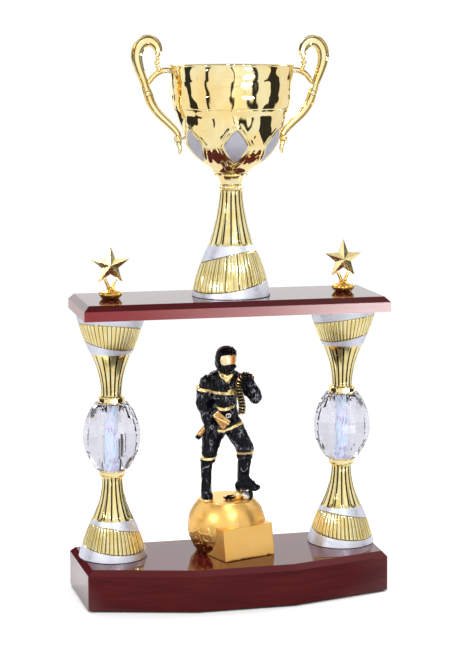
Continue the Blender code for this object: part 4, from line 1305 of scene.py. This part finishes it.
# Balls as (place, radii): toe caps, heel and sole, then the glove round the axe handle
EXTRA_BALLS = (
    ((-20.2, 17.5, 5.0), (6.5, 5.2, 4.9)), ((30.6, 8.0, 12.6), (5.2, 4.6, 3.4)),
    ((13.0, 6.0, 11.4), (3.8, 4.4, 3.0)), ((28.6, 7.9, 10.4), (5.6, 4.8, 1.7)),
    ((21.6, 7.0, 11.0), (12.0, 5.2, 1.3)), ((-13.6, 13.4, 78.4), (5.0, 3.6, 5.2)),
    ((-17.6, 11.6, 76.4), (4.8, 4.4, 5.2)),
)
LACES = ((20.8, 24.4), (23.6, 21.6), (26.6, 19.0))
# Bars as (start, end, radii, sides, flatness): lapels, pocket flaps, tip of the axe handle
EXTRA_BARS = (
    ((-6.9, 8.0, 135.5), (-0.2, 12.0, 121.5), 2.3, 1.6, 12, 0.6),
    ((8.1, 8.0, 135.5), (1.4, 12.0, 121.5), 2.3, 1.6, 12, 0.6),
    ((-15.7, 11.0, 108.5), (-7.3, 11.3, 108.5), 1.6, 1.6, 10, 0.8),
    ((1.3, 11.0, 108.5), (9.7, 11.3, 108.5), 1.6, 1.6, 10, 0.8),
    ((-31.4, 9.5, 65.6), (-28.4, 9.5, 68.6), 2.9, 3.2, 14, 1.0),
)
HEAD = (-0.9, 0.0, 149.0)
HEAD_RADII = (11.3, 12.0, 13.0)
FRINGE_TUFTS, HAIR_TUFTS = 9, 26
GOLDEN_ANGLE = 2.39996
# Breathing mask over nose and mouth: forward, level and radii
MASK_BALLS = (
    (8.4, 141.8, (8.4, 5.6, 3.9)), (10.0, 140.4, (5.6, 4.6, 3.4)), (8.2, 138.0, (6.0, 4.6, 3.0)),
)
FACE_TURN = 20.0                  # the head looks a little to the viewer's right
FIGURE_VOXEL = 0.62
# painted glints: width of the pale lines on the fold crests
PAINTED_GLINT_WIDTH = 0.2                 # of the bright lines on the folds


def posed(across, forward, level):
    return ACROSS * across + FORWARD * forward + Vector((0, 0, level))


def oval(middle, radii, level, count=36, level_of=None):
    ring = []
    for degrees in circle(count):
        x, y, _ = polar(1.0, degrees, 0)
        across, forward = middle[0] + radii[0] * x, middle[1] + radii[1] * y
        ring.append(posed(across, forward, level_of(across) if level_of else level))
    return ring


def hem_level(across):
    (left, low), (middle, lowest), (right, high) = HEM_LEVELS
    if across < middle:
        return lowest + (low - lowest) * min(1.0, (middle - across) / (middle - left))
    return lowest + (high - lowest) * min(1.0, (across - middle) / (right - middle))


def add_posed_ball(form, place, radii, turn=0.0, segments=24, rings=16):
    """An ellipsoid with its radii given across, forward and up."""
    radii = radii if isinstance(radii, (tuple, list)) else (radii,) * 3
    verts = add_ball(form, (0, 0, 0), radii, segments, rings)
    basis = Matrix((ACROSS, -FORWARD, Vector((0, 0, 1)))).transposed().to_4x4()
    matrix = Matrix.Translation(posed(*place)) @ basis
    matrix = matrix @ Matrix.Rotation(math.radians(turn), 4, "Z")
    bmesh.ops.transform(form, matrix=matrix, verts=verts)


def add_chain(form, chain):
    """Balls joined by tapered bars."""
    for across, forward, level, radius in chain:
        add_posed_ball(form, (across, forward, level), radius)
    for first, last in zip(chain, chain[1:]):
        add_bar(form, posed(*first[:3]), posed(*last[:3]), first[3], last[3], 28,
                face=(0.3, 0.1, 0.05))


def figure_cage():
    form = bmesh.new()
    rings = [oval((middle, 0), (width, depth), level)
             for level, middle, width, depth in COAT_RINGS]
    rings.append(oval((-1.0, 0), (18.8, 13.8), 0, level_of=lambda across: hem_level(across) + 2))
    rings.append(oval((-1.0, 0), (19.0, 14.0), 0, level_of=hem_level))
    rings.append(oval((-1.0, 0), (15.5, 11.0), 0, level_of=lambda across: hem_level(across) + 2))
    skin(rings, form=form)
    for chain in LIMBS:
        add_chain(form, chain)
    for place, half, radii in CUFFS:
        add_posed_ball(form, (place[0], place[1], place[2] + half * 0.3), (*radii, half))
        add_posed_ball(form, (place[0], place[1], place[2] - half * 0.3), (*radii, half))
    for place, radii in EXTRA_BALLS:
        add_posed_ball(form, place, radii)
    for across, level in LACES:
        add_bar(form, posed(across, 12.6, level - 1.4), posed(across + 2.8, 7.4, level + 0.4),
                0.8, 0.8, 8)
    # Head, hood, brim and tufts of hair
    add_posed_ball(form, HEAD, HEAD_RADII, segments=36, rings=24)
    add_posed_ball(form, (-3.0, -2.5, 144.5), (9.6, 10.0, 11.0))
    add_posed_ball(form, (-0.3, -0.5, 153.2), (11.0, 11.8, 9.2), segments=36, rings=20)
    for k in range(FRINGE_TUFTS):
        angle = math.radians(-38 + 13.5 * k)
        across, forward = math.sin(angle), math.cos(angle)
        root = posed(HEAD[0] + 6.5 * across, 6.5 * forward, 157.6)
        tip = posed(HEAD[0] + 12.4 * across, 12.9 * forward, 154.6 + 0.7 * math.sin(k * 2.1))
        add_bar(form, root, tip, 3.0, 0.9, 12, 0.8)
    for k in range(HAIR_TUFTS):
        angle = GOLDEN_ANGLE * k
        height = 1 - 0.75 * (k + 0.5) / HAIR_TUFTS
        around = math.sqrt(1 - height * height)
        away = Vector((around * math.sin(angle), around * math.cos(angle), height))
        root = posed(HEAD[0] + 8.6 * away.x, 9.0 * away.y, 152.4 + 7.4 * away.z)
        tip = posed(HEAD[0] + 11.9 * away.x + 1.2, 12.4 * away.y, 152.8 + 10.0 * away.z)
        add_bar(form, root, tip, 2.5, 0.7, 10)
    face = math.radians(FACE_TURN)
    for forward, level, radii in MASK_BALLS:
        place = (HEAD[0] + 0.6 + forward * math.sin(face), forward * math.cos(face), level)
        add_posed_ball(form, place, radii, FACE_TURN)
    for first, last, *shape in EXTRA_BARS:
        add_bar(form, posed(*first), posed(*last), *shape)
    return form


# Folds of coat, legs, boots and hood: height, scale and shift of the noise, share of the painted
# glints on the crests
FOLDS = {
    "coat": ((1.6, (0.15, 0.15, 0.07), (1, 2, 0), 1.0), (0.65, (0.34, 0.34, 0.16), (5, 1, 7), 0.6)),
    "legs": ((1.6, (0.2, 0.2, 0.045), (3, 0, 5), 1.0), (0.6, (0.4, 0.4, 0.13), (8, 3, 1), 0.6)),
    "boots": ((0.6, (0.22, 0.22, 0.1), (2, 6, 3), 1.0),),
    "head": ((0.5, (0.3, 0.3, 0.2), (4, 4, 4), 0.0),),
}


def crease(point, level):
    """How far the cloth folds lift the surface, and how much painted glint lies on their crests."""
    zones = {
        "coat": smooth(80, 84, level) * smooth(141, 136, level),
        "legs": smooth(50, 56, level) * smooth(84, 78, level),
        "boots": smooth(50, 44, level),
        "head": smooth(150, 156, level),
    }
    lift, painted_glint = 0.0, 0.0
    for zone, folds in FOLDS.items():
        for height, scale, shift, share in folds:
            place = Vector([a * b for a, b in zip(point, scale)]) + Vector(shift)
            value = abs(noise.noise(place))
            lift += height * zones[zone] * (0.35 - value * 1.9)
            bright = smooth(PAINTED_GLINT_WIDTH * scale[0], 0.0, value)
            painted_glint = max(painted_glint, share * zones[zone] * bright)
    patchy = smooth(-0.02, 0.4, noise.noise(point * 0.13 + Vector((6.0, 9.0, 2.0))))
    return lift, patchy * painted_glint


def figure_form():
    form = figure_cage()
    bmesh.ops.recalc_face_normals(form, faces=form.faces)
    cage = loose_object("figure_cage", form)
    voxels = cage.modifiers.new("voxels", "REMESH")
    voxels.mode = "VOXEL"
    voxels.voxel_size = FIGURE_VOXEL
    softened = cage.modifiers.new("softened", "SMOOTH")
    softened.factor = 0.5
    softened.iterations = 5
    form = evaluated_form(cage)
    bpy.data.objects.remove(cage)
    form.normal_update()
    layer = form.verts.layers.float.new("painted_glint")
    lifts = [(vert, vert.normal.copy(), *crease(vert.co, vert.co.z)) for vert in form.verts]
    for vert, normal, lift, painted_glint in lifts:
        vert.co += normal * lift
        vert[layer] = painted_glint
    lowest = min(vert.co.z for vert in form.verts)
    for vert in form.verts:
        vert.co.z = max(vert.co.z, 0.4, lowest)
    form.normal_update()
    return form


BAND_CLEARANCE = 3.0              # from a band's expected radii to where the search starts
BAND_SEARCH = 6.5
BAND_ROOT = 1.2                   # how deep bands and patches sit in the figure


def surface_point(tree, outside, inside):
    """Where a line from outside to inside meets the figure, or the expected place on it."""
    run = (inside - outside).normalized()
    found = tree.ray_cast(outside, run, BAND_SEARCH)[0]
    return found if found is not None else outside + run * BAND_CLEARANCE


def rounded_lift(share, lift):
    return lift * math.sqrt(max(0.0, 1 - (2 * share - 1) ** 6))


def add_band(form, tree, middle, radii, low, high, lift=0.8, columns=120):
    """A raised band round a limb; low and high give its edges at a (across, forward) way."""
    rings = []
    rows = steps(0.0, 1.0, 8)
    for inner in (False, True):
        for share in (reversed(rows) if inner else rows):
            ring = []
            for degrees in circle(columns):
                way = polar(1.0, degrees, 0)[:2]
                level = low(*way) + (high(*way) - low(*way)) * share
                outside = posed(middle[0] + (radii[0] + BAND_CLEARANCE) * way[0],
                                middle[1] + (radii[1] + BAND_CLEARANCE) * way[1], level)
                inside = posed(middle[0], middle[1], level)
                found = surface_point(tree, outside, inside)
                run = (outside - inside).normalized()
                ring.append(found + run * (-BAND_ROOT if inner else rounded_lift(share, lift)))
            rings.append(ring)
    return skin(rings, True, form=form)


def add_patch(form, tree, top, bottom, columns=28, rows=8, lift=0.9, reach=30.0):
    """A raised patch on the front between an upper and a lower line of (across, level)."""
    rings = []
    for number in range(columns):
        share = number / (columns - 1)
        upper, lower = along(top, share), along(bottom, share)
        end = rounded_lift(share, 1.0)
        outer, inner = [], []
        for row in range(rows):
            down = row / (rows - 1)
            across = upper[0] + (lower[0] - upper[0]) * down
            level = upper[1] + (lower[1] - upper[1]) * down
            found = tree.ray_cast(posed(across, reach, level), -FORWARD)[0]
            found = found if found is not None else posed(across, 8.0, level)
            outer.append(found + FORWARD * (0.15 + end * rounded_lift(down, lift)))
            inner.append(found - FORWARD * BAND_ROOT)
        rings.append(outer + inner[::-1])
    return skin(rings, form=form)


def along(points, share):
    """The point at a share of a line through evenly counted points."""
    place = share * (len(points) - 1)
    number = min(int(place), len(points) - 2)
    first, last = points[number], points[number + 1]
    part = place - number
    return tuple(a + (b - a) * part for a, b in zip(first, last))


def figure_piece(name, form, finish, nodes=(), sharp=40):
    top = stand_axis()
    top.z = box_mm("globe_stand")[1].z
    mesh_piece(name, form, (finish,), top, "figure", nodes, sharp)


# Bands of chest, sleeve and both trouser legs: middle, radii, lower and upper level, tilt
LEVEL_BANDS = (
    ((-4.0, 0.0), (15.2, 11.9), 112.7, 116.4, (-1.2, -0.8)),
    ((-25.0, 1.0), (7.6, 7.5), 115.2, 119.2, (-1.4, -0.6)),
    ((-18.4, 5.5), (8.4, 8.3), 44.4, 47.2, (0.2, -1.9)),
    ((19.2, 8.0), (9.3, 9.2), 49.8, 53.0, (0.4, -0.8)),
)
HEM_MIDDLE, HEM_RADII = (-1.2, 0.0), (18.4, 13.4)


def build_coat_bands(tree):
    """Gold reflective bands on coat, sleeve and trousers."""
    form = bmesh.new()
    for middle, radii, low, high, (tilt_x, tilt_y) in LEVEL_BANDS:
        add_band(form, tree, middle, radii,
                 lambda x, y: low + tilt_x * x + tilt_y * y,
                 lambda x, y: high + tilt_x * x + tilt_y * y)

    def hem(x):
        return hem_level(HEM_MIDDLE[0] + HEM_RADII[0] * x)

    add_band(form, tree, HEM_MIDDLE, HEM_RADII,
             lambda x, y: hem(x) + 2.8, lambda x, y: hem(x) + 5.9, 0.7)
    add_patch(form, tree, ((-12.0, 100.6), (-6.5, 99.2), (-2.0, 98.6), (3.0, 100.2), (8.8, 101.4)),
              ((-12.0, 98.4), (-7.0, 95.2), (-2.0, 94.4), (3.0, 95.4), (8.8, 98.2)), lift=1.5)
    add_patch(form, tree, ((0.8, 117.2), (4.5, 119.4), (9.2, 117.6)),
              ((0.8, 113.6), (4.5, 112.6), (9.2, 115.2)), columns=16, lift=1.9)
    figure_piece("figure_gold_bands", form, "figure_gold")


def build_scarf(tree):
    form = bmesh.new()
    add_patch(form, tree, ((-8.2, 137.2), (-3.0, 134.6), (1.4, 133.6), (7.4, 134.8)),
              ((-7.8, 133.0), (-3.6, 128.6), (1.2, 123.6), (7.2, 131.4)), columns=30, rows=12,
              lift=1.5)
    figure_piece("figure_scarf", form, "figure_gold")


VISOR_FROM, VISOR_SPAN = -27.0, 92.0
VISOR_LEVEL, VISOR_RISE = 148.8, 0.9
VISOR_DOWN, VISOR_UP = 5.4, 5.0


def build_visor():
    """Curved gold visor that wraps the front of the hood."""
    rings = []
    for share in steps(0.0, 1.0, 30):
        angle = math.radians(VISOR_FROM + VISOR_SPAN * share)
        middle, end = VISOR_LEVEL + VISOR_RISE * share, rounded_lift(share, 1.0)
        outer, inner = [], []
        for level in steps(middle - VISOR_DOWN * end, middle + VISOR_UP * end, 9):
            curve = math.sqrt(max(0.2, 1 - ((level - 148.6) / 17.0) ** 2))
            for reach, ring in ((1.0, outer), (-2.4, inner)):
                ring.append(posed(HEAD[0] + (11.4 + reach) * curve * math.sin(angle),
                                  (12.0 + reach) * curve * math.cos(angle), level))
        rings.append(outer + inner[::-1])
    figure_piece("figure_visor", skin(rings), "visor_gold")


def add_strand(form, route, phase):
    """One strand of a rope that twists round a route of points."""
    rings, travelled = [], 0.0
    for number, point in enumerate(route):
        if number:
            travelled += (point - route[number - 1]).length
        run = (route[min(number + 1, len(route) - 1)] - route[max(number - 1, 0)]).normalized()
        side = run.cross(FORWARD).normalized()
        front = side.cross(run).normalized()
        turn = phase + 2 * math.pi * travelled / ROPE_PITCH
        middle = point + side * ROPE_RADIUS * math.cos(turn) + front * ROPE_RADIUS * math.sin(turn)
        around = oval_points(middle, side * STRAND_RADIUS, front * STRAND_RADIUS, 10)
        rings.append([place + run * 0.4 * STRAND_RADIUS * math.sin(2 * math.pi * k / 10 + turn)
                      for k, place in enumerate(around)])
    skin(rings, form=form)


ROPE_ROUTE = (
    (26.0, 7.0, 128.6), (23.0, 11.6, 132.6), (18.2, 13.4, 133.0), (14.2, 13.0, 128.0),
    (12.7, 12.4, 121.6), (13.6, 12.8, 114.6), (15.6, 12.4, 106.5), (16.6, 11.6, 99.5),
    (15.9, 10.6, 92.5),
)
ROPE_RADIUS, ROPE_PITCH, STRAND_RADIUS = 2.5, 6.6, 1.5


def build_rope():
    """Twisted rope that comes over the shoulder and hangs in front of the coat."""
    route = [posed(*point) for point in curve_through(ROPE_ROUTE, 12)]
    for word, finish, phases, slot in (
        ("gold", "figure_gold", (0.0, 2.0), "antique_gold_resin"),
        ("black", "black_enamel", (1.0, 3.0), "black_resin"),
    ):
        form = bmesh.new()
        for phase in phases:
            add_strand(form, route, phase * math.pi / 2)
        figure_piece(f"figure_rope_{word}", form, finish)


# Root, bend and tip of the first finger, each with its shift from one finger to the next
FINGER = (
    ((25.0, 14.2, 134.0), (-0.4, 0, -2.5)), ((21.0, 17.4, 135.6), (-0.5, 0, -2.7)),
    ((17.2, 16.8, 133.0), (-0.2, 0, -2.6)),
)
FINGER_RADIUS, FINGER_END = 1.3, 1.15


def build_raised_hand():
    """Gloved fingers that hold the rope at the shoulder."""
    form = bmesh.new()
    add_posed_ball(form, (22.6, 10.6, 129.4), (5.2, 4.6, 4.6))
    for number in range(4):
        places = [tuple(a + b * number for a, b in zip(*joint)) for joint in FINGER]
        for first, last in zip(places, places[1:]):
            add_bar(form, posed(*first), posed(*last), FINGER_RADIUS, FINGER_END, 12)
        for place in places:
            add_posed_ball(form, place, FINGER_RADIUS, segments=14, rings=10)
    figure_piece("figure_raised_glove", form, "black_enamel")


# Corners of the axe head with its half thickness there, its middle and how far forward it is
AXE_CORNERS = ((-14.2, 91.6, 2.4), (-8.8, 96.4, 2.4), (4.4, 85.2, 0.9), (-3.9, 75.4, 0.9))
AXE_MIDDLE, AXE_FORWARD = (-5.6, 87.0), 16.2
AXE_LAYERS = ((0.0, 0.94), (0.12, 1.0), (0.5, 1.0), (0.88, 1.0), (1.0, 0.94))
# Start, end and radius of the bars of the pale strip and of the handle end
AXE_STRIP = (
    ((-13.2, 18.6, 90.9), (2.4, 17.4, 82.2), 1.25), ((-9.4, 18.4, 95.0), (3.6, 17.2, 85.0), 0.7),
    ((-14.0, 18.2, 91.4), (-8.8, 18.4, 96.0), 0.8),
)
AXE_HANDLE = (
    ((-29.4, 8.5, 67.6), (-21.4, 7.0, 77.2), 3.1), ((-27.4, 11.2, 70.4), (-22.6, 10.6, 76.2), 1.1),
)


def build_axe():
    """Fire axe held low in front: wedge head with a pale top strip, and its handle end."""
    middle_x, middle_z = AXE_MIDDLE
    head = skin([[posed(middle_x + (across - middle_x) * swell, AXE_FORWARD + half * (2 * share - 1),
                        middle_z + (level - middle_z) * swell)
                  for across, level, half in AXE_CORNERS] for share, swell in AXE_LAYERS])
    bmesh.ops.subdivide_edges(head, edges=[edge for edge in head.edges
                                           if edge.calc_length() > 4], cuts=8,
                              use_grid_fill=True)
    for vert in head.verts:
        vert.co += FORWARD * 0.55 * noise.noise(vert.co * 0.33)
    figure_piece("figure_axe_head", head, "figure_bronze", sharp=30)
    for name, finish, bars, sides, flat in (
        ("figure_axe_strip", "figure_gold", AXE_STRIP, 12, 1.0),
        ("figure_axe_handle", "figure_bronze", AXE_HANDLE, 16, 0.85),
    ):
        form = bmesh.new()
        for first, last, radius in bars:
            add_bar(form, posed(*first), posed(*last), radius, radius, sides, flat)
        figure_piece(name, form, finish)


BUCKLE_MIDDLE, BUCKLE_RADII, BUCKLE_WIRE = (1.9, 12.4, 90.3), (2.3, 2.0), 0.6


def build_buckle():
    """Small open belt ring with a tongue."""
    form = bmesh.new()
    across, forward, level = BUCKLE_MIDDLE
    rings = []
    for degrees in circle(20):
        x, z, _ = polar(1.0, degrees, 0)
        ring = []
        for turn in circle(8):
            away, out, _ = polar(BUCKLE_WIRE, turn, 0)
            ring.append(posed(across + (BUCKLE_RADII[0] + away) * x, forward + out,
                              level + (BUCKLE_RADII[1] + away) * z))
        rings.append(ring)
    skin(rings, True, form=form)
    add_bar(form, posed(1.9, 12.6, 92.0), posed(2.3, 12.8, 87.6), 0.5, 0.4, 8)
    figure_piece("figure_buckle", form, "figure_silver")


SOLE_MIDDLE, SOLE_HALF_WIDTH, SOLE_HALF_LENGTH = (-20.3, 11.6), 6.2, 9.6
SOLE_TOE_GROWTH = 0.7
SOLE_ROWS = ((0.15, 0.0), (0.5, 0.5), (2.0, 0.5), (2.6, 0.0))  # level and growth


def build_sole():
    """Gold welt under the planted boot."""
    rings = []
    for level, grow in SOLE_ROWS:
        ring = []
        for degrees in circle(40):
            x, y, _ = polar(1.0, degrees, 0)
            wide = SOLE_HALF_WIDTH + SOLE_TOE_GROWTH * y + grow
            ring.append(posed(SOLE_MIDDLE[0] + wide * x,
                              SOLE_MIDDLE[1] + (SOLE_HALF_LENGTH + grow) * y, level))
        rings.append(ring)
    figure_piece("figure_boot_sole", skin(rings), "figure_gold")


ROCK_LOWEST = 0.12


def add_rock(form, place, radii, seed):
    verts = add_ball(form, (0, 0, 0), radii, 22, 14)
    for vert in verts:
        push = 1 + 0.35 * noise.noise(vert.co * 0.24 + Vector((seed, seed * 2, 0)))
        push += 0.12 * noise.noise(vert.co * 0.8 + Vector((0, seed, seed)))
        vert.co = posed(*place) + posed(*vert.co) * push
        vert.co.z = max(vert.co.z, ROCK_LOWEST)


# Rubble: word, finish, slot, rocks as (place, radii) and bent bars as (start, end)
RUBBLE = (
    ("gold", "figure_gold", "antique_gold_resin",
     (((12.4, 8.0, 4.2), (4.6, 5.0, 5.2)), ((5.0, 9.0, 1.0), (6.5, 4.5, 1.4)),
      ((15.0, -1.0, 3.5), (7.5, 6.0, 5.4))), ()),
    ("silver", "figure_silver", "zinc_steel", (((20.0, 9.4, 3.6), (4.4, 4.2, 4.9)),), ()),
    ("black", "black_enamel", "black_resin",
     (((25.2, 7.6, 4.6), (3.0, 3.2, 5.6)), ((4.4, 11.4, 2.0), (4.4, 2.6, 1.8))),
     (((-3.2, 11.0, 2.8), (1.4, 12.4, 0.8)), ((-1.6, 12.0, 0.8), (0.6, 11.6, 4.0)),
      ((0.6, 11.6, 4.0), (7.0, 11.0, 4.8)), ((24.0, 10.0, 1.0), (26.8, 9.4, 8.6)))),
)


def build_rubble():
    """Broken rubble under the stepping boot, with a few bent bars."""
    for word, finish, slot, rocks, bars in RUBBLE:
        form = bmesh.new()
        for number, (place, radii) in enumerate(rocks):
            add_rock(form, place, radii, 3.0 * number + len(word))
        for first, last in bars:
            add_bar(form, posed(*first), posed(*last), 1.0, 0.8, 10)
        figure_piece(f"figure_rubble_{word}", form, finish)


def build_figure():
    form = figure_form()
    tree = BVHTree.FromBMesh(form)
    figure_piece("figure_casting", form, "black_enamel", ("firefighter",), 70)
    build_coat_bands(tree)
    build_scarf(tree)
    build_visor()
    build_rope()
    build_raised_hand()
    build_axe()
    build_buckle()
    build_sole()
    build_rubble()


# ---------------------------------------------------------------- whole scene

FLOOR_RADIUS, FLOOR_GAP = 0.75, 0.0002  # in metres


def build_floor():
    form = bmesh.new()
    bmesh.ops.create_circle(form, cap_ends=True, segments=128, radius=FLOOR_RADIUS)
    floor = loose_object("studio_floor", form, ("studio_floor",))
    floor.location.z = CAD_LOW.z - FLOOR_GAP


def build_columns():
    for side, upper_bands in (("left", LEFT_UPPER_BANDS), ("right", RIGHT_UPPER_BANDS)):
        build_riser(side + "_lower_riser_moulding", side + "_lower_riser", "frame",
                    COLUMN_RISER, LOWER_BANDS)
        build_riser(side + "_upper_riser_moulding", side + "_upper_riser", "frame",
                    COLUMN_RISER, upper_bands, inverted=True)
        for node in (side + "_lower_collar", side + "_upper_collar"):
            build_turned_ring(node + "_ring", node, "frame", COLLAR_ROWS, twelve_sided, 96, 18)
        build_crystal(side)
        build_sleeve(side)
        build_star(side)


def build_whole_cup():
    build_riser("cup_riser_moulding", "cup_riser", "cup", CUP_RISER, CUP_BANDS)
    build_turned_ring("cup_collar_ring", "cup_collar", "cup", CUP_COLLAR_ROWS, beaded, 168, 40)
    build_turned_ring("cup_socket_funnel", "cup_socket", "cup", SOCKET_ROWS, twelve_sided,
                      144, 16)
    build_bowl()
    build_handle("left", -1)
    build_handle("right", 1)


SCENE.view_settings.view_transform = "Standard"
make_finishes()
build_camera()
build_world()
build_lamps()
build_floor()
build_columns()
build_whole_cup()
dress_frame()
build_globe_stand()
build_figure()
